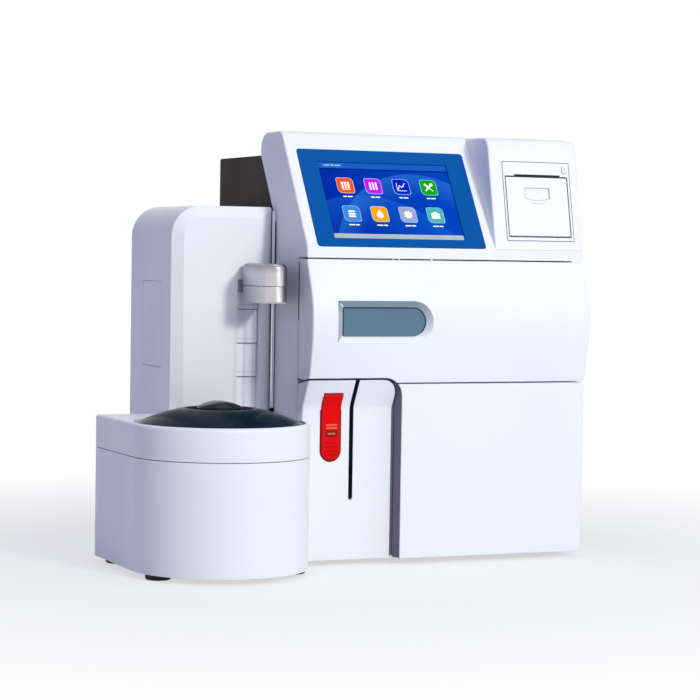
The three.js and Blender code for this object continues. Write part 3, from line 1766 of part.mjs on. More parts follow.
// The pieces, by name
const pieces = [
  ["upper_housing", white, upperHousing()],
  ["front_door", white, frontDoor()],
  ["door_window", tinted, doorWindow()],
  ["door_hinge_rod", steel, rod("x", hingeRod, frontHingeY, frontHingeZ, frontRod[0], frontRod[1], 12)],
  ["reagent_door", white, reagentDoor()],
  ["reagent_hinge_rod", steel,
    rod("z", hingeRod, unitWidth - hingeInset, doorBack - hingeInset, reagentRod[0], reagentRod[1], 12)],
  ["reagent_pack", grey, reagentPack()],
  ["sample_column", white, sampleColumn()],
  ["stat_lever", red, statLever()],
  ["stat_lever_pin", steel, statLeverPin()],
  ["stat_probe_arm", grey, probeArm()],
  ["stat_probe_tube", steel, probeTube()],
  ["stat_probe_pin", steel, probePin()],
  ["screen_bezel", blue, screenBezel()],
  ["touch_screen", glass, touchScreen()],
  ["display_module", grey, displayModule()],
  ["printer_frame", white, printerFrame()],
  ["printer_door", white, printerDoor()],
  ["printer_hinge_rod", steel,
    faceRod(printerFace, hingeRod, paperDoorBottom + hingeInset, -hingeInset, paperRod[0], paperRod[1], 12)],
  ["platen_roller", rubber, platenRoller()],
  ["paper_roll", paper, paperRoll()],
  ["feed_button", white, feedButton()],
  ["rear_cover", charcoal, rearCover()],
  ["back_panel", charcoal, backPanel()],
  ["base_plate", charcoal, basePlateSolid()],
  ["power_inlet", rubber, powerInlet()],
  ["power_switch", rubber, powerSwitch()],
  ["inner_frame", grey, innerFrame()],
  ["electrode_block", grey, electrodeBlock()],
  ["pump_housing", grey, pumpHousing()],
  ["pump_rotor", rubber, pumpRotor()],
  ["sampler_base", white, changerBase()],
  ["sampler_cover", white, changerCover()],
  ["dome_lid", smoke, domeLid()],
  ["lid_knob", smoke, lidKnob()],
  ["sample_disk", grey, sampleDisk()],
  ["disk_shaft", steel, diskShaft()],
  ["disk_motor", charcoal, diskMotor()],
  ["tower_shell", white, towerShell()],
  ["side_hatch", white, sideHatch()],
  ["arm_upper", silver, armUpper()],
  ["arm_lower", silver, armLower()],
  ["sampler_needle", steel, samplerNeedle()],
  ["lift_rod", steel, liftRod()],
];
for (let i = 0; i < electrodeCount; i += 1) pieces.push(["electrode_" + (i + 1), paper, electrode(i)]);
for (let i = 0; i < shutterCount - 1; i += 1) pieces.push(["shutter_" + (i + 1), white, shutter(i)]);
[
  [unitFootInset, unitFootFront],
  [unitWidth - unitFootInset, unitFootFront],
  [unitFootInset, unitFootRear],
  [unitWidth - unitFootInset, unitFootRear],
].forEach(([x, y], i) => pieces.push(["unit_foot_" + (i + 1), rubber, foot(x, y)]));
[
  [changerX - changerFootX, changerFootFront],
  [changerX + changerFootX, changerFootFront],
  [changerX - changerFootX, changerFootRear],
  [changerX + changerFootX, changerFootRear],
].forEach(([x, y], i) => pieces.push(["sampler_foot_" + (i + 1), rubber, foot(x, y)]));

const analyzer = new THREE.Group();
for (const [name, material, piece] of pieces) {
  const mesh = piece.getMesh();
  const geometry = new THREE.BufferGeometry();
  geometry.setAttribute("position", new THREE.BufferAttribute(mesh.vertProperties, 3));
  geometry.setIndex(new THREE.BufferAttribute(mesh.triVerts, 1));
  const node = new THREE.Mesh(geometry, material);
  node.name = name;
  analyzer.add(node);
}

// The origin goes to the middle of the space that the instrument covers, at the bottom of its feet
const covered = new THREE.Box3().setFromObject(analyzer);
const middle = covered.getCenter(new THREE.Vector3());
analyzer.position.set(-middle.x, -middle.y, footHeight);

export default analyzer;
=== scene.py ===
"""Electrolyte analyzer with autosampler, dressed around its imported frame.

Sizes are millimetres in the part's own axes: X from the casing's left side, Y from the face of the
lower door towards the rear, and Z up from the casing's foot. Workshop.spot turns them into metres.
AIR is the gap between a surface and a film that lies on it.
"""

from __future__ import annotations

import json
import logging
import math
from abc import ABC, abstractmethod
from dataclasses import dataclass
from enum import Enum
from typing import Sequence

import bmesh
import bpy
from mathutils import Matrix, Vector
from mathutils.bvhtree import BVHTree

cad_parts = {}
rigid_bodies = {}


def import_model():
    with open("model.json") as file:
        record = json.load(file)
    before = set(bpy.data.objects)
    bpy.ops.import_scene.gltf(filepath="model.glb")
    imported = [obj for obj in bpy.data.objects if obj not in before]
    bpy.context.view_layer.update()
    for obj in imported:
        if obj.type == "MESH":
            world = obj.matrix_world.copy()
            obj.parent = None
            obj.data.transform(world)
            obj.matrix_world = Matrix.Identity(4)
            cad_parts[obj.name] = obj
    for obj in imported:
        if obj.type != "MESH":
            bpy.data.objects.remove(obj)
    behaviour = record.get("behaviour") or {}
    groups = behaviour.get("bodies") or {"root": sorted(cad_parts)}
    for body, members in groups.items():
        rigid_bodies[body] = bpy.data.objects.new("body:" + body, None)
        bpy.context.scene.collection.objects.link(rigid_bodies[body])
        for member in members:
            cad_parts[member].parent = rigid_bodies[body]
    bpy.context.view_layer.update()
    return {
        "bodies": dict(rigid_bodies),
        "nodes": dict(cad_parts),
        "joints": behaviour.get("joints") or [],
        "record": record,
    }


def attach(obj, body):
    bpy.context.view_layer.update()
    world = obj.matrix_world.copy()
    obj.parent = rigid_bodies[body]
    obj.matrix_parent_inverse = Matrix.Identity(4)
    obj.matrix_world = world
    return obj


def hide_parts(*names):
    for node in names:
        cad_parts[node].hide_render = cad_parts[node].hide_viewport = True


log = logging.getLogger("analyzer")

Point = tuple[float, float]
Colour = tuple[float, float, float]

SHIFT = Vector((-67.7, -91.2715, 6.0))
METRE = 0.001
AIR = 0.02
RIGHT = Vector((1.0, 0.0, 0.0))
REAR = Vector((0.0, 1.0, 0.0))
UP = Vector((0.0, 0.0, 1.0))
WHITE = (1.0, 1.0, 1.0)
VECTORS = ("Place", "Stretch", "Rounded")


class Body(Enum):
    """The moving bodies of the frame."""

    CHASSIS = "chassis"
    FRONT_DOOR = "front_door"
    REAGENT_DOOR = "reagent_door"
    LEVER = "stat_lever"
    PRINTER_DOOR = "printer_door"
    FEED_BUTTON = "feed_button"
    DISK = "sample_disk"
    LID = "lid"
    ARM = "arm"
    SHUTTER_MIDDLE = "shutter_middle"
    SHUTTER_LOWER = "shutter_lower"


class Slot(Enum):
    """The material slots of the record."""

    SHELL = "shell_white"
    LEVER = "lever_red"
    SCREEN = "screen_glass"
    PACK = "pack_plastic"
    ELECTRODE = "electrode_clear"
    STEEL = "steel"
    RUBBER = "rubber_black"
    PAPER = "paper"
    INLET = "inlet_black"
    LID = "lid_smoke"
    DISK = "disk_plastic"


def tone(red: int, green: int, blue: int) -> Colour:
    """A colour as it is seen on a display, turned into the linear values that a shader takes.

    Args:
        red: Red from 0 to 255.
        green: Green from 0 to 255.
        blue: Blue from 0 to 255.

    Returns:
        The three linear values, each from 0 to 1.
    """
    linear = []
    for value in (red, green, blue):
        part = value / 255
        linear.append(part / 12.92 if part <= 0.04045 else ((part + 0.055) / 1.055) ** 2.4)
    return (linear[0], linear[1], linear[2])


def scaled(colour: Colour, share: float) -> Colour:
    """A colour made darker or lighter.

    Args:
        colour: The linear colour.
        share: The factor for each of its values.

    Returns:
        The new colour, kept at or below 1.
    """
    return (min(colour[0] * share, 1.0), min(colour[1] * share, 1.0), min(colour[2] * share, 1.0))


class Sketch:
    """Places and links the nodes of one node tree."""

    def __init__(self, tree: bpy.types.NodeTree) -> None:
        """Starts on an empty tree."""
        self.tree = tree
        self.tree.nodes.clear()

    def add(self, kind: str, **settings: object) -> bpy.types.Node:
        """Places one node.

        Args:
            kind: Blender's name of the node type.
            **settings: Properties of the node itself.

        Returns:
            The new node.
        """
        node = self.tree.nodes.new(kind)
        for name, value in settings.items():
            setattr(node, name, value)
        return node

    def feed(self, socket: bpy.types.NodeSocket, source: object) -> None:
        """Links a source to a socket, or sets the socket to a plain value.

        Args:
            socket: The socket that is fed.
            source: An output socket, a number, a colour or a vector.
        """
        if isinstance(source, bpy.types.NodeSocket):
            self.tree.links.new(source, socket)
        elif isinstance(source, tuple) and socket.type == "RGBA":
            socket.default_value = (*source, 1.0)
        else:
            socket.default_value = source

    def wire(self, node: bpy.types.Node, *sources: object) -> None:
        """Feeds the first inputs of a node.

        Args:
            node: The node.
            *sources: What feeds them, in order.
        """
        for socket, source in zip(node.inputs, sources):
            self.feed(socket, source)

    def fill(self, node: bpy.types.Node, **values: object) -> None:
        """Feeds several inputs of a node.

        Args:
            node: The node.
            **values: Its inputs, with underscores for spaces.
        """
        for name, value in values.items():
            self.feed(node.inputs[name.replace("_", " ")], value)

    def math(self, operation: str, *sources: object) -> bpy.types.NodeSocket:
        """A Math node.

        Args:
            operation: The name of the operation.
            *sources: Its one to three inputs.

        Returns:
            The result's socket.
        """
        node = self.add("ShaderNodeMath", operation=operation)
        self.wire(node, *sources)
        return node.outputs[0]

    def vector(self, operation: str, *sources: object) -> bpy.types.NodeSocket:
        """A Vector Math node.

        Args:
            operation: The name of the operation.
            *sources: Its one or two inputs.

        Returns:
            The result's socket: a number for a dot product or a length, else a vector.
        """
        node = self.add("ShaderNodeVectorMath", operation=operation)
        self.wire(node, *sources)
        return node.outputs["Value" if operation in ("DOT_PRODUCT", "LENGTH") else "Vector"]

    def axes(self, place: bpy.types.NodeSocket) -> tuple[bpy.types.NodeSocket, ...]:
        """The three numbers of a place: across, back and up.

        Args:
            place: The place's socket.

        Returns:
            The sockets of the three numbers.
        """
        node = self.add("ShaderNodeSeparateXYZ")
        self.wire(node, place)
        return tuple(node.outputs)

    def span(
        self, source: object, low: float, high: float, first: float = 0.0, last: float = 1.0
    ) -> bpy.types.NodeSocket:
        """Maps a value from one range to another and keeps it there.

        Args:
            source: The value's socket.
            low: The result at the start of the range.
            high: The result at its end.
            first: The start of the value's range.
            last: The end of the value's range.

        Returns:
            The mapped value's socket.
        """
        node = self.add("ShaderNodeMapRange", clamp=True)
        self.wire(node, source, first, last, low, high)
        return node.outputs[0]

    def blend(self, mask: object, first: object, second: object) -> bpy.types.NodeSocket:
        """Mixes two colours by a mask.

        Args:
            mask: The mask, 0 for the first colour and 1 for the second.
            first: A colour or its socket.
            second: A colour or its socket.

        Returns:
            The mixed colour's socket.
        """
        node = self.add("ShaderNodeMix", data_type="RGBA")
        self.feed(node.inputs[0], mask)
        self.feed(node.inputs[6], first)
        self.feed(node.inputs[7], second)
        return node.outputs[2]

    def noise(self, where: object, scale: object, detail: float = 3.0) -> bpy.types.NodeSocket:
        """A noise pattern.

        Args:
            where: The socket of the place that it is read at.
            scale: Its scale, for a place in metres.
            detail: How many finer layers it has.

        Returns:
            The socket of its value.
        """
        node = self.add("ShaderNodeTexNoise")
        self.fill(node, Vector=where, Scale=scale, Detail=detail)
        return node.outputs["Fac"]

    def place(self) -> bpy.types.NodeSocket:
        """The place on the piece, which moves with it."""
        return self.add("ShaderNodeTexCoord").outputs["Object"]

    def effect(self, group: bpy.types.NodeTree, *sources: object) -> bpy.types.Node:
        """Places a shared effect.

        Args:
            group: The effect's node group.
            *sources: Its inputs, in the group's order.

        Returns:
            The group's node.
        """
        node = self.add("ShaderNodeGroup", node_tree=group)
        self.wire(node, *sources)
        return node

    def output(self, kind: str, mask: object, first: bpy.types.Node, second: bpy.types.Node) -> None:
        """Ends the tree with two shaders, mixed by a mask.

        Args:
            kind: Blender's name of the output node's type.
            mask: The mask, 0 for the first shader and 1 for the second.
            first: The first shader's node.
            second: The second shader's node.
        """
        mix = self.add("ShaderNodeMixShader")
        self.wire(mix, mask, first.outputs[0], second.outputs[0])
        self.fill(self.add(kind), Surface=mix.outputs[0])

    def relief(self, height: object, depth: float, normal: object | None = None) -> bpy.types.NodeSocket:
        """A Bump node.

        Args:
            height: The socket of the height, from 0 to 1.
            depth: The height of 1, in millimetres.
            normal: The normal that it starts from.

        Returns:
            The bumped normal's socket.
        """
        node = self.add("ShaderNodeBump")
        self.fill(node, Strength=1.0, Distance=depth * METRE, Height=height)
        if normal is not None:
            self.feed(node.inputs["Normal"], normal)
        return node.outputs["Normal"]


class Effects:
    """Shader effects that several finishes share, each built once as a node group."""

    def __init__(self) -> None:
        """Builds every group."""
        self.grain = self.build_grain()
        self.edges = self.build_edges()
        self.smudges = self.build_smudges()
        self.brushing = self.build_brushing()

    @staticmethod
    def start(
        name: str, takes: Sequence[str], gives: Sequence[str]
    ) -> tuple[Sketch, bpy.types.Node, bpy.types.Node]:
        """Opens a node group with its sockets, which are numbers unless they are named in VECTORS.

        Args:
            name: The group's name.
            takes: The names of the inputs.
            gives: The names of the outputs.

        Returns:
            A sketch on the group, its input node and its output node.
        """
        group = bpy.data.node_groups.new(name, "ShaderNodeTree")
        sketch = Sketch(group)
        for titles, way in ((takes, "INPUT"), (gives, "OUTPUT")):
            for title in titles:
                kind = "NodeSocketVector" if title in VECTORS else "NodeSocketFloat"
                group.interface.new_socket(name=title, in_out=way, socket_type=kind)
        return sketch, sketch.add("NodeGroupInput"), sketch.add("NodeGroupOutput")

    def build_grain(self) -> bpy.types.NodeTree:
        """Fine moulded grain, with slow clouds of tone over the piece.

        Returns:
            The group: Place, Grain Scale and Cloud Scale in, Height and Tone out.
        """
        titles = ("Place", "Grain Scale", "Cloud Scale")
        sketch, takes, gives = self.start("moulded_grain", titles, ("Height", "Tone"))
        place, grain_scale, cloud_scale = (takes.outputs[title] for title in titles)
        pits = sketch.add("ShaderNodeTexVoronoi", feature="SMOOTH_F1")
        sketch.fill(pits, Vector=place, Scale=grain_scale)
        fine = sketch.noise(place, grain_scale, 2.0)
        height = sketch.math("MULTIPLY_ADD", pits.outputs["Distance"], 0.6, fine)
        clouds = sketch.noise(place, cloud_scale)
        sketch.fill(gives, Height=height, Tone=sketch.span(clouds, 0.0, 1.0, 0.3, 0.7))
        return sketch.tree

    def build_edges(self) -> bpy.types.NodeTree:
        """Edges that look slightly rounded, with a broken mask along them for wear and for a painted edge
        highlight or shade.

        Returns:
            The group: Place, Radius and Breakup in, Mask and Rounded out.
        """
        titles = ("Place", "Radius", "Breakup")
        sketch, takes, gives = self.start("edge_wear_and_painted_light", titles, ("Mask", "Rounded"))
        place, radius, breakup = (takes.outputs[title] for title in titles)
        bevel = sketch.add("ShaderNodeBevel", samples=4)
        sketch.fill(bevel, Radius=radius)
        true_normal = sketch.add("ShaderNodeNewGeometry").outputs["Normal"]
        facing = sketch.vector("DOT_PRODUCT", bevel.outputs["Normal"], true_normal)
        turn = sketch.span(facing, 1.0, 0.0, 0.75, 0.98)
        broken = sketch.span(sketch.noise(place, breakup, 4.0), 0.0, 1.0, 0.35, 0.6)
        sketch.fill(gives, Mask=sketch.math("MULTIPLY", turn, broken), Rounded=bevel.outputs["Normal"])
        return sketch.tree

    def build_smudges(self) -> bpy.types.NodeTree:
        """Faint wipe marks and finger smudges that change only the gloss.

        Returns:
            The group: Place and Scale in, Gloss out.
        """
        sketch, takes, gives = self.start("wipe_marks", ("Place", "Scale"), ("Gloss",))
        stretch = sketch.add("ShaderNodeMapping")
        sketch.fill(stretch, Vector=takes.outputs["Place"], Scale=(1.0, 1.0, 0.35), Rotation=(0.3, 0.5, 0.2))
        marks = sketch.noise(stretch.outputs["Vector"], takes.outputs["Scale"], 6.0)
        sketch.fill(gives, Gloss=sketch.span(marks, 0.0, 1.0, 0.45, 0.75))
        return sketch.tree

    def build_brushing(self) -> bpy.types.NodeTree:
        """Fine parallel lines of brushed metal.

        Returns:
            The group: Place, Scale and Stretch in, Height out.
        """
        titles = ("Place", "Scale", "Stretch")
        sketch, takes, gives = self.start("brushed_lines", titles, ("Height",))
        place, scale, stretch = (takes.outputs[title] for title in titles)
        sketch.fill(gives, Height=sketch.noise(sketch.vector("MULTIPLY", place, stretch), scale, 4.0))
        return sketch.tree


@dataclass(frozen=True)
class Finish(ABC):
    """What a surface is made of. Each kind of finish paints its own nodes."""

    name: str
    colour: Colour

    def material(self, effects: Effects) -> bpy.types.Material:
        """The finish as a material, made on first use.

        Args:
            effects: The shared node groups.

        Returns:
            The material.
        """
        made = bpy.data.materials.get(self.name)
        if made is None:
            made = bpy.data.materials.new(self.name)
            made.use_nodes = True
            made.diffuse_color = (*self.colour, 1.0)
            sketch = Sketch(made.node_tree)
            shader = sketch.add("ShaderNodeBsdfPrincipled")
            output = sketch.add("ShaderNodeOutputMaterial")
            sketch.fill(output, Surface=shader.outputs[0])
            self.paint(sketch, shader, effects)
        return made

    @abstractmethod
    def paint(self, sketch: Sketch, shader: bpy.types.Node, effects: Effects) -> None:
        """Feeds the shader.

        Args:
            sketch: The sketch on the material's tree.
            shader: The Principled BSDF.
            effects: The shared node groups.
        """


@dataclass(frozen=True)
class Moulded(Finish):
    """Injection-moulded plastic with a spark-eroded grain and slightly softened edges."""

    roughness: float = 0.42
    grain_scale: float = 1500.0
    grain_depth: float = 0.012
    cloud_share: float = 0.975
    edge_share: float = 1.06
    edge_radius: float = 0.5
    specular: float = 0.22
    cloud_scale: float = 9.0
    breakup: float = 140.0
    wipe_scale: float = 22.0
    spread: tuple[float, float] = (-0.04, 0.07)

    def paint(self, sketch: Sketch, shader: bpy.types.Node, effects: Effects) -> None:
        """Feeds colour, roughness and relief.

        Args:
            sketch: The sketch on the material's tree.
            shader: The Principled BSDF.
            effects: The shared node groups.
        """
        place = sketch.place()
        grain = sketch.effect(effects.grain, place, self.grain_scale, self.cloud_scale)
        edges = sketch.effect(effects.edges, place, self.edge_radius * METRE, self.breakup)
        wipes = sketch.effect(effects.smudges, place, self.wipe_scale)
        clouded = sketch.blend(grain.outputs["Tone"], self.colour, scaled(self.colour, self.cloud_share))
        # Edges lightened by the edge mask: partly wear, partly a painted edge highlight.
        worn_and_highlit = sketch.blend(edges.outputs["Mask"], clouded, scaled(self.colour, self.edge_share))
        gloss = sketch.span(wipes.outputs["Gloss"], *(self.roughness + step for step in self.spread))
        relief = sketch.relief(grain.outputs["Height"], self.grain_depth, edges.outputs["Rounded"])
        sketch.fill(shader, Base_Color=worn_and_highlit, Roughness=gloss, Specular_IOR_Level=self.specular, Normal=relief)


@dataclass(frozen=True)
class Coated(Finish):
    """Powder-coated sheet metal with orange peel and rubbed edges, whose lighter tone is partly a painted
    edge highlight.
    """

    roughness: float = 0.55
    peel_scale: float = 700.0
    peel_depth: float = 0.05
    edge_share: float = 1.5
    specular: float = 0.08
    cloud_scale: float = 6.0
    cloud_share: float = 0.9
    edge_radius: float = 0.4
    breakup: float = 220.0
    spread: tuple[float, float] = (-0.05, 0.05)

    def paint(self, sketch: Sketch, shader: bpy.types.Node, effects: Effects) -> None:
        """Feeds colour, roughness and the orange peel.

        Args:
            sketch: The sketch on the material's tree.
            shader: The Principled BSDF.
            effects: The shared node groups.
        """
        place = sketch.place()
        grain = sketch.effect(effects.grain, place, self.peel_scale, self.cloud_scale)
        edges = sketch.effect(effects.edges, place, self.edge_radius * METRE, self.breakup)
        clouded = sketch.blend(grain.outputs["Tone"], self.colour, scaled(self.colour, self.cloud_share))
        # Edges lightened by the edge mask: rubbed powder coat, partly a painted edge highlight.
        rubbed_and_highlit = sketch.blend(edges.outputs["Mask"], clouded, scaled(self.colour, self.edge_share))
        gloss = sketch.span(grain.outputs["Tone"], *(self.roughness + step for step in self.spread))
        relief = sketch.relief(grain.outputs["Height"], self.peel_depth, edges.outputs["Rounded"])
        sketch.fill(shader, Base_Color=rubbed_and_highlit, Roughness=gloss, Normal=relief)
        sketch.fill(shader, Specular_IOR_Level=self.specular)


@dataclass(frozen=True)
class Metal(Finish):
    """Bare or satin metal with brushed lines along one direction.

    Where it has a painted shade colour, the surface is darkened where it faces one way and near the top:
    painted shade on the sides that get less light.
    """

    roughness: float = 0.25
    line_scale: float = 60.0
    line_depth: float = 0.006
    stretch: tuple[float, float, float] = (1.0, 1.0, 40.0)
    metallic: float = 1.0
    edge_share: float = 1.25
    streak_shares: tuple[float, float] = (0.9, 1.06)
    edge_radius: float = 0.5
    breakup: float = 300.0
    wipe_scale: float = 60.0
    spread: tuple[float, float] = (-0.03, 0.08)
    shade: Colour | None = None
    shade_towards: tuple[float, float, float] = (0.8, 0.0, 0.6)
    shade_heights: tuple[float, float] = (294.0, 302.0)
    shade_top: float = 0.6

    def paint(self, sketch: Sketch, shader: bpy.types.Node, effects: Effects) -> None:
        """Feeds colour, roughness and the brushed lines.

        Args:
            sketch: The sketch on the material's tree.
            shader: The Principled BSDF.
            effects: The shared node groups.
        """
        place = sketch.place()
        lines = sketch.effect(effects.brushing, place, self.line_scale, self.stretch)
        edges = sketch.effect(effects.edges, place, self.edge_radius * METRE, self.breakup)
        wipes = sketch.effect(effects.smudges, place, self.wipe_scale)
        dull, lit = (scaled(self.colour, share) for share in self.streak_shares)
        streaked = sketch.blend(lines.outputs["Height"], dull, lit)
        # Edges lightened by the edge mask: partly wear, partly a painted edge highlight.
        bright = sketch.blend(edges.outputs["Mask"], streaked, scaled(self.colour, self.edge_share))
        # Painted shade: darker where the surface faces right or up, and along the top.
        if self.shade is not None:
            normal = sketch.add("ShaderNodeTexCoord").outputs["Normal"]
            low, high = (Workshop.spot(Vector((0.0, 0.0, z))).z for z in self.shade_heights)
            side = sketch.span(sketch.vector("DOT_PRODUCT", normal, self.shade_towards), 0.0, 1.0, 0.15, 0.85)
            top = sketch.span(sketch.axes(place)[2], 0.0, self.shade_top, low, high)
            bright = sketch.blend(sketch.math("MAXIMUM", side, top), bright, self.shade)
        gloss = sketch.span(wipes.outputs["Gloss"], *(self.roughness + step for step in self.spread))
        relief = sketch.relief(lines.outputs["Height"], self.line_depth, edges.outputs["Rounded"])
        sketch.fill(shader, Base_Color=bright, Metallic=self.metallic, Roughness=gloss, Normal=relief)


@dataclass(frozen=True)
class Clear(Finish):
    """Tinted clear plastic or glass with faint wipe marks."""

    roughness: float = 0.05
    transmission: float = 0.6
    index: float = 1.49
    specular: float = 0.5
    wave_scale: float = 120.0
    wave_depth: float = 0.004
    cloud_scale: float = 12.0
    cloud_share: float = 0.93
    wipe_scale: float = 35.0
    wipe_rise: float = 0.05

    def paint(self, sketch: Sketch, shader: bpy.types.Node, effects: Effects) -> None:
        """Feeds colour, gloss and a slow waviness.

        Args:
            sketch: The sketch on the material's tree.
            shader: The Principled BSDF.
            effects: The shared node groups.
        """
        place = sketch.place()
        grain = sketch.effect(effects.grain, place, self.wave_scale, self.cloud_scale)
        wipes = sketch.effect(effects.smudges, place, self.wipe_scale)
        clouded = sketch.blend(grain.outputs["Tone"], self.colour, scaled(self.colour, self.cloud_share))
        gloss = sketch.span(wipes.outputs["Gloss"], self.roughness, self.roughness + self.wipe_rise)
        relief = sketch.relief(grain.outputs["Height"], self.wave_depth)
        sketch.fill(shader, Base_Color=clouded, Transmission_Weight=self.transmission, IOR=self.index)
        sketch.fill(shader, Specular_IOR_Level=self.specular, Roughness=gloss, Normal=relief)


@dataclass(frozen=True)
class Bevelled(Finish):
    """A moulded bevel with painted shade: darker at the top and along the left side, where the bevel faces
    away from the light, and the lit tone at the foot.
    """

    raised: Colour = tone(236, 240, 246)
    specular: float = 0.1
    middle: float = 246.3
    half: float = 19.5
    left: float = 28.0
    foot: float = 224.9
    width: float = 6.6
    side_share: float = 0.7
    grain_scale: float = 1500.0
    grain_depth: float = 0.006
    cloud_scale: float = 30.0
    gloss: tuple[float, float] = (0.4, 0.5)

    def paint(self, sketch: Sketch, shader: bpy.types.Node, effects: Effects) -> None:
        """Feeds the painted shade and the lit tone by height and side.

        Args:
            sketch: The sketch on the material's tree.
            shader: The Principled BSDF.
            effects: The shared node groups.
        """
        place = sketch.place()
        grain = sketch.effect(effects.grain, place, self.grain_scale, self.cloud_scale)
        across, _, height = sketch.axes(place)
        foot, top = (Workshop.spot(Vector((0.0, 0.0, self.middle + side * self.half))).z for side in (-1, 1))
        corner = Workshop.spot(Vector((self.left, 0.0, self.foot)))
        above = sketch.math("GREATER_THAN", sketch.math("SUBTRACT", height, across), corner.z - corner.x)
        beside = sketch.math("LESS_THAN", across, corner.x + self.width * METRE)
        side = sketch.math("MULTIPLY", sketch.math("MULTIPLY", above, beside), self.side_share)
        # Painted shade: dark at the top and along the left side, the lit tone towards the foot.
        dark = sketch.math("MAXIMUM", side, sketch.span(height, 0.0, 1.0, foot, top))
        gloss = sketch.span(grain.outputs["Tone"], *self.gloss)
        relief = sketch.relief(grain.outputs["Height"], self.grain_depth)
        sketch.fill(shader, Base_Color=sketch.blend(dark, self.raised, self.colour), Roughness=gloss)
        sketch.fill(shader, Specular_IOR_Level=self.specular, Normal=relief)


@dataclass(frozen=True)
class Matt(Finish):
    """Rubber, paper, foam and other surfaces without gloss."""

    roughness: float = 0.85
    fibre_scale: float = 1600.0
    fibre_depth: float = 0.03
    cloud_scale: float = 40.0
    cloud_share: float = 0.9
    spread: tuple[float, float] = (-0.06, 0.04)

    def paint(self, sketch: Sketch, shader: bpy.types.Node, effects: Effects) -> None:
        """Feeds colour, roughness and a fibrous relief.

        Args:
            sketch: The sketch on the material's tree.
            shader: The Principled BSDF.
            effects: The shared node groups.
        """
        place = sketch.place()
        grain = sketch.effect(effects.grain, place, self.fibre_scale, self.cloud_scale)
        clouded = sketch.blend(grain.outputs["Tone"], self.colour, scaled(self.colour, self.cloud_share))
        gloss = sketch.span(grain.outputs["Tone"], *(self.roughness + step for step in self.spread))
        relief = sketch.relief(grain.outputs["Height"], self.fibre_depth)
        sketch.fill(shader, Base_Color=clouded, Roughness=gloss, Normal=relief)


@dataclass(frozen=True)
class Lit(Finish):
    """A part of the lit display: its colour also glows a little."""

    glow: float = 0.16
    fade_share: float = 0.92
    roughness: float = 0.3

    def paint(self, sketch: Sketch, shader: bpy.types.Node, effects: Effects) -> None:
        """Feeds colour and glow with a slight cloud.

        Args:
            sketch: The sketch on the material's tree.
            shader: The Principled BSDF.
            effects: The shared node groups.
        """
        grain = sketch.effect(effects.grain, sketch.place(), 3000.0, 30.0)
        shown = sketch.blend(grain.outputs["Tone"], self.colour, scaled(self.colour, self.fade_share))
        sketch.fill(shader, Base_Color=shown, Emission_Color=shown, Emission_Strength=self.glow)
        sketch.fill(shader, Specular_IOR_Level=0.0, Roughness=self.roughness)


@dataclass(frozen=True)
class Backdrop(Finish):
    """The picture behind the menu: a plain blue gradient with two soft arcs."""

    glow: float = 0.12
    roughness: float = 0.2
    light: Colour = tone(3, 68, 180)
    low_arc: Colour = tone(40, 140, 240)
    high_arc: Colour = tone(70, 160, 240)
    middle_x: float = 107.0
    fade_left: float = 80.0
    fade_right: float = 55.0

    def arc(
        self, sketch: Sketch, place: bpy.types.NodeSocket, x: float, z: float, radius: float, width: float
    ) -> bpy.types.NodeSocket:
        """A soft band along a circle.

        Args:
            sketch: The sketch on the material's tree.
            place: The socket of the place.
            x: The circle's centre across, in millimetres.
            z: The circle's centre in height.
            radius: Its radius.
            width: How wide the band fades inwards.

        Returns:
            The band's mask.
        """
        centre = Workshop.spot(Vector((x, 0.0, z)))
        offset = sketch.vector("SUBTRACT", place, (centre.x, 0.0, centre.z))
        length = sketch.vector("LENGTH", sketch.vector("MULTIPLY", offset, (1.0, 0.0, 1.0)))
        inside = sketch.span(length, 0.0, 1.0, (radius - width) * METRE, radius * METRE)
        return sketch.math("MULTIPLY", inside, sketch.math("LESS_THAN", length, radius * METRE))

    def paint(self, sketch: Sketch, shader: bpy.types.Node, effects: Effects) -> None:
        """Feeds the gradient and the arcs as colour and glow.

        Args:
            sketch: The sketch on the material's tree.
            shader: The Principled BSDF.
            effects: The shared node groups.
        """
        place = sketch.place()
        first_x, last_x = (self.middle_x - self.fade_left, self.middle_x + self.fade_right)
        start, end = (Workshop.spot(Vector((x, 0.0, 0.0))).x for x in (first_x, last_x))
        rise = sketch.span(sketch.axes(place)[0], 0.15, 0.75, start, end)
        base = sketch.blend(rise, self.colour, self.light)
        low = self.arc(sketch, place, self.middle_x - 34, 236.0, 140.0, 40.0)
        high = self.arc(sketch, place, self.middle_x + 30, 292.0, 108.0, 26.0)
        first = sketch.blend(sketch.math("MULTIPLY", low, 0.15), base, self.low_arc)
        shown = sketch.blend(sketch.math("MULTIPLY", high, 0.2), first, self.high_arc)
        sketch.fill(shader, Base_Color=shown, Emission_Color=shown, Emission_Strength=self.glow)
        sketch.fill(shader, Specular_IOR_Level=0.0, Roughness=self.roughness)


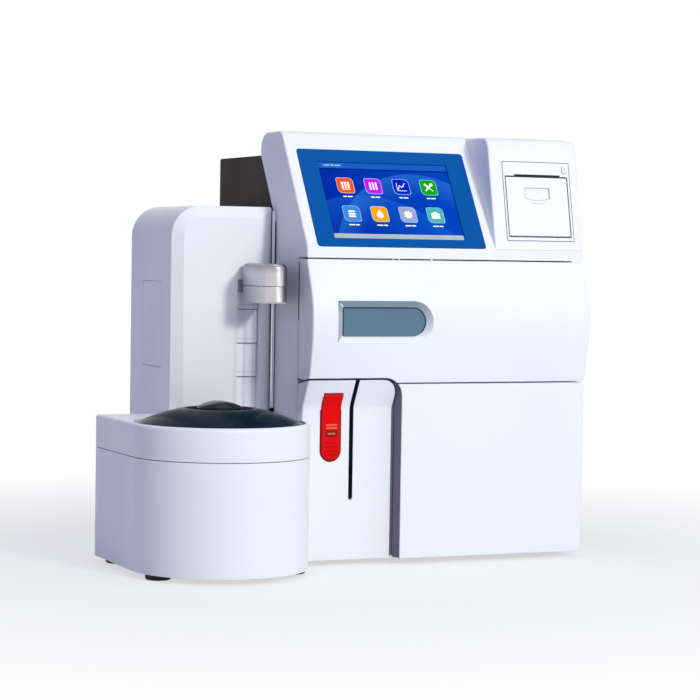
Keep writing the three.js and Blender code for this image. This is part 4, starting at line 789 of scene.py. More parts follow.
class Finishes:
    """Every finish of the analyzer."""

    shell = Moulded("moulded_white", tone(238, 240, 247))
    bezel = Moulded(
        "bezel_film", tone(5, 84, 162), roughness=0.3, grain_depth=0.004, edge_radius=0.3, specular=0.04
    )
    # The lever's edge share darkens its edges: painted shade along them.
    lever = Moulded(
        "lever_red_gloss", tone(232, 8, 12), roughness=0.3, grain_depth=0.005, edge_share=0.55, specular=0.05
    )
    lever_label = Moulded("lever_label_film", tone(122, 12, 10), roughness=0.35, grain_depth=0.003)
    lever_patch = Moulded("lever_label_patch", tone(240, 110, 70), roughness=0.35, grain_depth=0.003)
    inner = Moulded("inner_grey_moulding", tone(146, 153, 168), roughness=0.5)
    dark = Moulded("dark_moulding", tone(34, 34, 40), roughness=0.45, edge_share=1.5)
    lever_rib = Moulded("lever_rib_red", tone(186, 8, 12), roughness=0.35, grain_depth=0.004, specular=0.1)
    # Dark blue-grey for painted shade: the slot's walls, the arch, the pane's shadow line and the probe arm
    # deep in the slot.
    slot_dark = Matt("slot_painted_shade", tone(42, 52, 82))
    # Near black for painted shade: the paper slot and the seam over the door.
    slot_black = Matt("black_painted_shade", tone(8, 8, 10))
    # Dark red for painted shade round the lever's seat.
    seat = Matt("lever_seat_shadow", tone(96, 8, 14), fibre_depth=0.002)
    lever_edge = Matt("lever_edge", tone(120, 6, 12), fibre_depth=0.002)
    seam_dark = Matt("printer_seam", tone(40, 40, 48), fibre_depth=0.002)
    seam_faint = Matt("faint_seam", tone(205, 206, 216), fibre_depth=0.002)
    seam = Matt("seam_shadow", tone(70, 74, 92), fibre_depth=0.002)
    seam_soft = Matt("soft_seam", tone(150, 154, 172), fibre_depth=0.002)
    # Dark lilac for painted shade on the alcove's walls and in the gap beside the column.
    trim_dark = Moulded("alcove_painted_shade", tone(112, 106, 128), roughness=0.5, specular=0.1)
    # The window's bevel, with its shade painted into its colour.
    surround = Bevelled("window_surround", tone(126, 140, 160))
    pack = Moulded("pack_moulding", tone(228, 230, 226), roughness=0.4)
    cap_blue = Moulded("cap_blue", tone(40, 98, 176), roughness=0.35)
    cap_red = Moulded("cap_red", tone(196, 44, 40), roughness=0.35)
    cap_green = Moulded("cap_green", tone(48, 140, 84), roughness=0.35)
    cap_yellow = Moulded("cap_yellow", tone(232, 178, 48), roughness=0.35)
    disk = Moulded("disk_moulding", tone(210, 214, 220), roughness=0.38)
    print_grey = Matt("printed_marks", tone(74, 80, 92), fibre_depth=0.002)
    paint = Coated("dark_powder_coat", tone(44, 36, 34))
    frame = Coated("frame_powder_coat", tone(150, 156, 166), edge_share=1.1)
    steel = Metal("brushed_steel", tone(196, 200, 205))
    brass = Metal("turned_brass", tone(206, 172, 98), stretch=(1.0, 40.0, 1.0))
    # The arm's silver, with painted shade on its top and right side.
    silver = Metal(
        "satin_silver",
        tone(204, 200, 206),
        roughness=0.3,
        stretch=(1.0, 1.0, 60.0),
        line_scale=40.0,
        shade=tone(72, 72, 88),
    )
    plate = Metal("blank_plate", tone(188, 190, 194), roughness=0.4, stretch=(1.0, 1.0, 50.0))
    pane = Clear("window_tint_glass", tone(100, 132, 154), transmission=0.15, roughness=0.14, specular=0.15)
    glass = Clear("touch_glass", tone(16, 50, 120), transmission=0.0, roughness=0.04, specular=0.1)
    smoke = Clear("smoked_acrylic", tone(14, 34, 46), transmission=0.04, roughness=0.1, specular=0.015)
    smoke_knob = Clear("smoked_knob", tone(24, 34, 46), transmission=0.0, roughness=0.14, specular=0.1)
    electrode = Clear("electrode_acrylic", tone(226, 232, 236), transmission=0.7, roughness=0.08)
    hose = Clear("silicone_hose", tone(232, 226, 206), transmission=0.4, roughness=0.25, index=1.41)
    cup = Clear("cup_polystyrene", tone(236, 240, 244), transmission=0.6, roughness=0.12)
    fluid = Clear("cup_fluid", tone(236, 206, 130), transmission=0.6, roughness=0.05, index=1.35)
    rubber = Matt("foot_rubber", tone(26, 24, 32))
    paper = Matt("thermal_paper", tone(246, 246, 242), roughness=0.8, cloud_share=0.97)
    screen = Backdrop("menu_backdrop", tone(2, 30, 142))
    screen_band = Lit("menu_band", tone(22, 88, 184), glow=0.12)
    screen_line = Lit("menu_line", tone(4, 30, 110), glow=0.12)
    screen_tab = Lit("menu_tab", tone(36, 104, 182), glow=0.12)
    screen_bar = Lit("menu_bar", tone(172, 180, 189), glow=0.12)
    screen_white = Lit("menu_white", tone(238, 242, 248), glow=0.3)
    screen_rim = Lit("menu_rim", tone(148, 188, 230), glow=0.2)


@dataclass(frozen=True)
class Face:
    """A flat place on the part: u to the right, v up and w out of it, in millimetres."""

    origin: Vector
    right: Vector
    up: Vector
    out: Vector

    def at(self, u: float, v: float, w: float = 0.0) -> Vector:
        """The point at u, v and w, in the part's millimetres."""
        return self.origin + self.right * u + self.up * v + self.out * w

    @classmethod
    def leaning(cls, y: float, z: float, degrees: float) -> "Face":
        """A face towards the front that leans back, with u as the part's X.

        Args:
            y: How far back its foot is.
            z: How high its foot is.
            degrees: How far it leans back from upright.

        Returns:
            The face.
        """
        angle = math.radians(degrees)
        up = Vector((0.0, math.sin(angle), math.cos(angle)))
        out = Vector((0.0, -math.cos(angle), math.sin(angle)))
        return cls(Vector((0.0, y, z)), RIGHT, up, out)

    @classmethod
    def front(cls, y: float) -> "Face":
        """The upright plane at y, seen from the front, with u as X and v as Z."""
        return cls.leaning(y, 0.0, 0.0)

    @classmethod
    def rear(cls, y: float, right_side: float) -> "Face":
        """The upright plane at y, seen from behind, with u from the right side."""
        return cls(Vector((right_side, y, 0.0)), -RIGHT, UP, REAR)

    @classmethod
    def left(cls, x: float) -> "Face":
        """The upright plane at x, seen from the left, with u as minus Y."""
        return cls(Vector((x, 0.0, 0.0)), -REAR, UP, -RIGHT)

    @classmethod
    def top(cls, z: float) -> "Face":
        """The level plane at z, seen from above, with u as X and v as Y."""
        return cls(Vector((0.0, 0.0, z)), RIGHT, REAR, UP)


def rounded(corners: Sequence[Point], radii: Sequence[float], steps: int = 6) -> list[Point]:
    """An outline with each corner rounded.

    Args:
        corners: The corners, in order.
        radii: The radius at each corner, or 0 to leave it sharp.
        steps: How many parts an arc has.

    Returns:
        The points of the outline.
    """
    points: list[Point] = []
    count = len(corners)
    for index, corner in enumerate(corners):
        here = Vector(corner)
        radius = radii[index]
        if radius <= 0:
            points.append((here.x, here.y))
            continue
        before = (Vector(corners[index - 1]) - here).normalized()
        after = (Vector(corners[(index + 1) % count]) - here).normalized()
        half = before.angle(after) / 2
        centre = here + (before + after).normalized() * (radius / math.sin(half))
        start = here + before * (radius / math.tan(half)) - centre
        end = here + after * (radius / math.tan(half)) - centre
        first = math.atan2(start.y, start.x)
        sweep = (math.atan2(end.y, end.x) - first + math.pi) % (2 * math.pi) - math.pi
        for step in range(steps + 1):
            angle = first + sweep * step / steps
            points.append((centre.x + radius * math.cos(angle), centre.y + radius * math.sin(angle)))
    return points


def rectangle(
    left: float, low: float, right: float, high: float, radius: float = 0.0, steps: int = 5
) -> list[Point]:
    """A rectangle with rounded corners.

    Args:
        left: Its left side.
        low: Its lower side.
        right: Its right side.
        high: Its upper side.
        radius: The radius of its corners.
        steps: How many parts a corner's arc has.

    Returns:
        The points of the outline, counter-clockwise.
    """
    corners = [(left, low), (right, low), (right, high), (left, high)]
    return rounded(corners, [radius] * len(corners), steps)


def disc(u: float, v: float, radius: float, sides: int = 24) -> list[Point]:
    """A circle as an outline.

    Args:
        u: Its centre across.
        v: Its centre in height.
        radius: Its radius.
        sides: How many points it has.

    Returns:
        The points, counter-clockwise.
    """
    turns = (2 * math.pi * side / sides for side in range(sides))
    return [(u + radius * math.cos(turn), v + radius * math.sin(turn)) for turn in turns]


def added(name: str, data: bpy.types.ID) -> bpy.types.Object:
    """Adds an object to the scene.

    Args:
        name: Its name.
        data: Its mesh, lamp or camera.

    Returns:
        The object.
    """
    thing = bpy.data.objects.new(name, data)
    bpy.context.scene.collection.objects.link(thing)
    return thing


def stroke(first: Point, second: Point, width: float) -> list[Point]:
    """A straight stroke with square ends.

    Args:
        first: Where it starts.
        second: Where it ends.
        width: How wide it is.

    Returns:
        Its outline.
    """
    start, end = Vector(first), Vector(second)
    along = (end - start).normalized()
    side = Vector((-along.y, along.x)) * (width / 2)
    return [tuple(start - side), tuple(end - side), tuple(end + side), tuple(start + side)]


class Draft:
    """The mesh of one new piece, drawn in the part's millimetres."""

    socket_share = 0.45

    def __init__(self) -> None:
        """Starts with an empty mesh."""
        self.mesh = bmesh.new()

    def ring(self, points: Sequence[Vector]) -> list[bmesh.types.BMVert]:
        """Adds a ring of points.

        Args:
            points: The ring's points in the part's millimetres.

        Returns:
            The new vertices.
        """
        return [self.mesh.verts.new(Workshop.spot(point)) for point in points]

    def skin(self, rings: Sequence[Sequence[bmesh.types.BMVert]], closed: bool = False) -> None:
        """Joins rings of equal length with quads.

        Args:
            rings: The rings in order.
            closed: Whether the last ring joins the first.
        """
        pairs = list(zip(rings, rings[1:]))
        if closed:
            pairs.append((rings[-1], rings[0]))
        for low, high in pairs:
            count = len(low)
            for index in range(count):
                after = (index + 1) % count
                self.mesh.faces.new((low[index], low[after], high[after], high[index]))

    def loop(self, rings: Sequence[Sequence[Vector]]) -> "Draft":
        """Adds a skin over rings of points, with the last one joined to the first.

        Args:
            rings: The rings' points, in the part's millimetres.

        Returns:
            This draft.
        """
        self.skin([self.ring(points) for points in rings], closed=True)
        return self

    def loft(self, rings: Sequence[Sequence[Vector]]) -> "Draft":
        """Adds a skin over rings of points, with a face over each end.

        Args:
            rings: The rings' points in order, in the part's millimetres.

        Returns:
            This draft.
        """
        made = [self.ring(points) for points in rings]
        self.mesh.faces.new(list(reversed(made[0])))
        self.skin(made)
        self.mesh.faces.new(made[-1])
        return self

    def prism(
        self, face: Face, outline: Sequence[Point], low: float, high: float, soft: float = 0.0
    ) -> "Draft":
        """Adds an upright plate with an outline.

        Args:
            face: The plane that it stands on.
            outline: Its outline, counter-clockwise.
            low: The height of its back.
            high: The height of its front.
            soft: The width of the slanted edge round its front.

        Returns:
            This draft.
        """
        rings = [[face.at(u, v, height) for u, v in outline] for height in (low, high - soft)]
        if soft > 0:
            middle = Vector((sum(u for u, _ in outline), sum(v for _, v in outline))) / len(outline)
            inner = []
            for u, v in outline:
                inward = middle - Vector((u, v))
                step = inward.normalized() * min(soft, inward.length)
                inner.append(face.at(u + step.x, v + step.y, high))
            rings.append(inner)
        return self.loft(rings)

    def frame(
        self, face: Face, outer: Sequence[Point], inner: Sequence[Point], low: float, high: float
    ) -> "Draft":
        """Adds a flat frame between two outlines with equally many points.

        Args:
            face: The plane that it lies on.
            outer: Its outer outline.
            inner: Its inner outline.
            low: The height of its back.
            high: The height of its front.

        Returns:
            This draft.
        """
        sides = ((outer, low), (outer, high), (inner, high), (inner, low))
        return self.loop([[face.at(u, v, height) for u, v in outline] for outline, height in sides])

    def band(
        self, face: Face, outer: Sequence[Point], inner: Sequence[Point], low: float, high: float
    ) -> "Draft":
        """Adds an open strip between two paths with equally many points.

        Args:
            face: The plane that it lies on.
            outer: Its outer path.
            inner: Its inner path.
            low: The height of its back.
            high: The height of its front.

        Returns:
            This draft.
        """
        rings = []
        for far, near in zip(outer, inner):
            rings.append([face.at(*far, low), face.at(*far, high), face.at(*near, high), face.at(*near, low)])
        return self.loft(rings)

    def turned(self, face: Face, u: float, v: float, profile: Sequence[Point], sides: int = 32) -> "Draft":
        """Adds a turned form whose axis points out of a face.

        Args:
            face: The plane that it stands on.
            u: The axis across.
            v: The axis in height.
            profile: Radius and height of each ring, from the back to the front.
            sides: How many sides it has.

        Returns:
            This draft.
        """
        rings = ((disc(u, v, radius, sides), height) for radius, height in profile)
        return self.loft([[face.at(*point, height) for point in ring] for ring, height in rings])

    def tube(self, points: Sequence[Vector], radius: float, sides: int) -> "Draft":
        """Adds a round hose or wire along a path.

        Args:
            points: The path's points, in the part's millimetres.
            radius: Its radius.
            sides: How many sides it has.

        Returns:
            This draft.
        """
        before = [points[0], *points[:-1]]
        after = [*points[1:], points[-1]]
        ahead = [(far - near).normalized() for near, far in zip(before, after)]
        side = ahead[0].orthogonal().normalized()
        rings = []
        for point, along in zip(points, ahead):
            side = (side - along * side.dot(along)).normalized()
            across = along.cross(side)
            rings.append([point + (side * u + across * v) * radius for u, v in disc(0.0, 0.0, 1.0, sides)])
        return self.loft(rings)

    def screw(self, face: Face, u: float, v: float, radius: float, rise: float, base: float = 0.0) -> "Draft":
        """Adds the head of a screw with a hexagon socket.

        Args:
            face: The plane that it sits on.
            u: Its centre across.
            v: Its centre in height.
            radius: The head's radius.
            rise: The head's height.
            base: Where the head starts.

        Returns:
            This draft.
        """
        sides = 24
        rings = []
        for share, height in ((0.9, 0.0), (1.0, 0.25), (1.0, 0.7), (0.82, 1.0)):
            rings.append([face.at(p, q, base + rise * height) for p, q in disc(u, v, radius * share, sides)])
        hexagon = []
        for step in range(sides):
            turn = 2 * math.pi * step / sides
            reach = radius * self.socket_share / math.cos((turn + math.pi / 6) % (math.pi / 3) - math.pi / 6)
            hexagon.append((u + reach * math.cos(turn), v + reach * math.sin(turn)))
        for height in (1.0, 0.35):
            rings.append([face.at(p, q, base + rise * height) for p, q in hexagon])
        return self.loft(rings)

    def finished(self, name: str, crease: float) -> bpy.types.Object:
        """Turns the draft into an object.

        Args:
            name: The object's name.
            crease: The angle in degrees above which an edge stays sharp.

        Returns:
            The object, in the scene.
        """
        bmesh.ops.recalc_face_normals(self.mesh, faces=self.mesh.faces)
        data = bpy.data.meshes.new(name)
        self.mesh.to_mesh(data)
        self.mesh.free()
        data.shade_smooth()
        data.set_sharp_from_angle(angle=math.radians(crease))
        return added(name, data)


class Workshop:
    """Turns drafts into pieces of the scene and dresses the frame's own nodes."""

    weld = 0.002
    flatness = 60

    def __init__(self, frame: dict) -> None:
        """Keeps the frame and builds the shared effects.
        """
        self.frame = frame
        self.effects = Effects()
        self.trees: dict[str, BVHTree] = {}

    @staticmethod
    def spot(point: Vector) -> Vector:
        """A point in the part's millimetres, in the frame's metres."""
        return (point + SHIFT) * METRE

    def piece(
        self,
        name: str,
        draft: Draft,
        finish: Finish,
        slot: Slot,
        body: Body = Body.CHASSIS,
        crease: float = 35.0,
    ) -> bpy.types.Object:
        """Adds a new piece that rides on a body.

        Args:
            name: The piece's name.
            draft: Its mesh.
            finish: What it is made of.
            slot: The record's slot that its finish belongs to; not used.
            body: The body that it rides on.
            crease: The angle in degrees above which an edge stays sharp.

        Returns:
            The piece.
        """
        made = draft.finished(name, crease)
        made.data.materials.append(finish.material(self.effects))
        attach(made, body.value)
        log.info("built %s on %s", name, body.value)
        return made

    def front_of(self, node: str, x: float, z: float) -> float:
        """How far back the front of a node is at one place.

        Args:
            node: The node's name.
            x: The place across, in the part's millimetres.
            z: The place in height.

        Returns:
            Its y in the part's millimetres, or infinity where nothing is met.
        """
        if node not in self.trees:
            mesh = self.frame["nodes"][node].data
            corners = [vertex.co.copy() for vertex in mesh.vertices]
            self.trees[node] = BVHTree.FromPolygons(corners, [tuple(face.vertices) for face in mesh.polygons])
        start = self.spot(Vector((x, -400.0, z)))
        met = self.trees[node].ray_cast(start, REAR)[0]
        return math.inf if met is None else met.y / METRE - SHIFT.y

    def dress(self, finish: Finish, *nodes: str, crease: float = 28.0) -> None:
        """Gives nodes of the frame a finish.

        Args:
            finish: What they are made of.
            *nodes: The names of the nodes.
            crease: From which angle an edge stays sharp, in degrees.
        """
        for name in nodes:
            node = self.frame["nodes"][name]
            for place in node.material_slots:
                place.material = finish.material(self.effects)
            self.smooth(node, crease)
            log.info("dressed %s in %s", name, finish.name)

    def smooth(self, node: bpy.types.Object, crease: float) -> None:
        """Shades a node's curved sides smoothly, with modifiers that leave its mesh alone.

        Args:
            node: The node.
            crease: From which angle an edge stays sharp, in degrees.
        """
        weld = node.modifiers.new("weld", "WELD")
        weld.merge_threshold = self.weld * METRE
        creases = node.modifiers.new("creases", "EDGE_SPLIT")
        creases.split_angle = math.radians(crease)
        even = node.modifiers.new("even_normals", "WEIGHTED_NORMAL")
        even.weight = self.flatness


@dataclass
class Assembly(ABC):
    """A sub-assembly that dresses its nodes and adds its own pieces."""

    shop: Workshop

    @abstractmethod
    def dress(self) -> None:
        """Gives the frame's nodes their finishes."""

    @abstractmethod
    def build(self) -> None:
        """Adds the new pieces."""


@dataclass
class Casing(Assembly):
    """The white mouldings, the dark cabinet behind them and what is fixed to its back."""

    width: float = 320.0
    panel_y: float = 267.1
    screw_radius: float = 3.0
    screw_rise: float = 1.8
    screw_margin: float = 12.0
    fan_x: float = 240.0
    fan_z: float = 300.0
    fan_radius: float = 36.0
    fan_front: float = 252.0
    fan_back: float = 264.9
    blades: int = 7
    guard_rise: float = 0.9
    strip_low: float = 168.0
    strip_high: float = 247.0

    def dress(self) -> None:
        """Dresses the mouldings, the cabinet and the feet."""
        self.shop.dress(Finishes.shell, "upper_housing", "reagent_door")
        self.shop.dress(Finishes.paint, "rear_cover", "back_panel", "base_plate")
        self.shop.dress(Finishes.frame, "inner_frame")
        self.shop.dress(Finishes.steel, "door_hinge_rod", "reagent_hinge_rod")
        self.shop.dress(Finishes.rubber, *[f"unit_foot_{place}" for place in range(1, 5)])
        self.shop.dress(Finishes.dark, "power_inlet", "power_switch")

    def build(self) -> None:
        """Adds the screws, the fan with its guard, the sockets, the blank plate and the side's strips."""
        self.add_screws()
        self.add_fan()
        self.add_sockets()
        self.add_plate()
        self.add_side_strip()

    def add_side_strip(self) -> None:
        """Adds the light strip in the seam at the left side, behind the doors, and the dark one above it."""
        face = Face.left(0.0)
        outline = rectangle(-30.9, self.strip_low, -29.6, self.strip_high, 0.3, 3)
        strip = Draft().prism(face, outline, -0.6, 0.3, 0.15)
        self.shop.piece("side_seam_strip", strip, Finishes.shell, Slot.SHELL)
        filler = Draft().prism(face, rectangle(-31.0, self.strip_high + 0.4, -29.7, 306.0), -0.8, -0.3)
        self.shop.piece("side_seam_shadow", filler, Finishes.seam, Slot.RUBBER)

    @property
    def back(self) -> Face:
        """The outer face of the back panel."""
        return Face.rear(self.panel_y, self.width)

    def add_screws(self) -> None:
        """Adds the screws round the back panel."""
        draft = Draft()
        left, middle, right = self.screw_margin, self.width / 2, self.width - self.screw_margin
        places = [(u, v) for u in (left, middle, right) for v in (14.0, 404.0)]
        for u, v in [*places, (left, 210.0), (right, 210.0)]:
            draft.screw(self.back, u, v, self.screw_radius, self.screw_rise)
        self.shop.piece("panel_screws", draft, Finishes.steel, Slot.STEEL)

    def add_fan(self) -> None:
        """Adds the fan behind the grille and the wire guard over it."""
        face = self.back
        across = self.width - self.fan_x
        depth = self.fan_back - self.panel_y
        front = self.fan_front - self.panel_y
        radii = (self.fan_radius, self.fan_radius - 2.4)
        outer, inner = (disc(across, self.fan_z, radius, 48) for radius in radii)
        ring = Draft().frame(face, outer, inner, front, depth)
        self.shop.piece("fan_housing", ring, Finishes.dark, Slot.INLET)
        rotor = Draft()
        hub = [(15, front + 1), (16, front + 2), (16, depth - 2), (14.5, depth - 0.8)]
        rotor.turned(face, across, self.fan_z, hub)
        section = ((-1, front + 2), (1, depth - 2.5), (1, depth - 3.4), (-1, front + 1.2))
        for blade in range(self.blades):
            turn = 2 * math.pi * blade / self.blades
            rings = []
            for reach in (15.0, 22.0, 29.0, 32.6):
                swing = turn + reach * 0.014
                lean = 0.30 + reach * 0.002
                chord = 5.0 + reach * 0.14
                points = []
                for side, height in section:
                    angle = swing + side * lean * chord / reach
                    u, v = across + reach * math.cos(angle), self.fan_z + reach * math.sin(angle)
                    points.append(face.at(u, v, height))
                rings.append(points)
            rotor.loft(rings)
        self.shop.piece("fan_rotor", rotor, Finishes.dark, Slot.INLET)
        guard = Draft()
        for radius in (9.0, 17.0, 25.0, 33.0):
            circle = [face.at(u, v, self.guard_rise) for u, v in disc(across, self.fan_z, radius, 40)]
            self.closed_wire(guard, circle, 0.75)
        for spoke in range(4):
            turn = math.pi / 4 + spoke * math.pi / 2
            u, v = math.cos(turn), math.sin(turn)
            reaches = [9.0 + step * 7.0 for step in range(5)]
            line = [(across + reach * u, self.fan_z + reach * v) for reach in reaches]
            guard.tube([face.at(*point, self.guard_rise) for point in line], 0.7, 8)
        self.shop.piece("fan_guard", guard, Finishes.steel, Slot.STEEL)

    @staticmethod
    def closed_wire(draft: Draft, circle: Sequence[Vector], radius: float) -> None:
        """Adds a wire bent to a closed ring.

        Args:
            draft: The draft that it is added to.
            circle: The points of its centre line.
            radius: The wire's radius.
        """
        middle = sum(circle, Vector()) / len(circle)
        normal = (circle[0] - middle).cross(circle[1] - middle).normalized()
        rings = []
        for point in circle:
            spoke = (point - middle).normalized()
            rings.append([point + (spoke * u + normal * v) * radius for u, v in disc(0.0, 0.0, 1.0, 8)])
        draft.loop(rings)

    def add_sockets(self) -> None:
        """Adds a serial, a network and two bus sockets above the power inlet."""
        face = self.back
        shells, liners, contacts = Draft(), Draft(), Draft()
        left = self.width - 190.0
        for index in range(2):
            low = 50.0 + index * 11.0
            mouth = rectangle(left + 0.7, low + 0.7, left + 13.7, low + 6.7, 0.5)
            shells.frame(face, rectangle(left, low, left + 14.4, low + 7.4, 1), mouth, 0.0, 1.7)
            liners.prism(face, rectangle(left + 0.8, low + 0.8, left + 13.6, low + 6.6, 0.4), 0.05, 0.5)
            contacts.prism(face, rectangle(left + 2.2, low + 3.4, left + 12.2, low + 5.2), 0.5, 1.3)
        net = left + 24.0
        mouth = rectangle(net + 1.6, 51.4, net + 15.4, 62.6, 0.4)
        shells.frame(face, rectangle(net, 50, net + 17, 64, 0.8), mouth, 0.0, 1.7)
        liners.prism(face, rectangle(net + 1.7, 51.5, net + 15.3, 62.5, 0.3), 0.05, 0.4)
        for pin in range(8):
            across = net + 4.2 + pin * 1.2
            contacts.prism(face, rectangle(across, 52.4, across + 0.6, 58.0), 0.4, 0.9)
        serial = net + 28.0
        corners = [(serial + 5.2, 51), (serial + 26.8, 51), (serial + 28.4, 62), (serial + 3.6, 62)]
        inner = [(serial + 6.2, 52), (serial + 25.8, 52), (serial + 27.2, 61), (serial + 4.8, 61)]
        shells.prism(face, rectangle(serial, 50, serial + 32, 63, 1.2), 0.0, 0.7, 0.2)
        shells.frame(face, rounded(corners, [2] * 4), rounded(inner, [1.6] * 4), 0.7, 2.2)
        liners.prism(face, rounded(inner, [1.6] * 4), 0.7, 1.2)
        for pin in range(9):
            row, place = divmod(pin, 5)
            across = serial + 10.4 + place * 2.8 + row * 1.4
            contacts.turned(face, across, 58.2 - row * 3.2, [(0.5, 1.2), (0.5, 1.8), (0.3, 2.0)], 10)
        for side in (2.4, 29.6):
            shells.screw(face, serial + side, 56.5, 1.9, 1.5, 0.7)
        self.shop.piece("socket_shells", shells, Finishes.steel, Slot.STEEL)
        self.shop.piece("socket_liners", liners, Finishes.dark, Slot.INLET)
        self.shop.piece("socket_contacts", contacts, Finishes.brass, Slot.STEEL)

    def add_plate(self) -> None:
        """Adds the blank type plate with its four rivets."""
        face = self.back
        left = self.width - 150.0
        plate = Draft().prism(face, rectangle(left, 84, left + 72, 126, 2), 0.0, 0.6, 0.15)
        self.shop.piece("blank_type_plate", plate, Finishes.plate, Slot.STEEL)
        rivets = Draft()
        for u in (left + 4, left + 68):
            for v in (88.0, 122.0):
                rivets.turned(face, u, v, [(1.6, 0.6), (1.6, 0.8), (1.1, 1.25), (0.4, 1.4)], 16)
        self.shop.piece("plate_rivets", rivets, Finishes.steel, Slot.STEEL)


@dataclass(frozen=True)
class Tile:
    """One tile of the menu: its sign, where it is and its colour."""

    sign: str
    u: float
    v: float
    colour: Colour


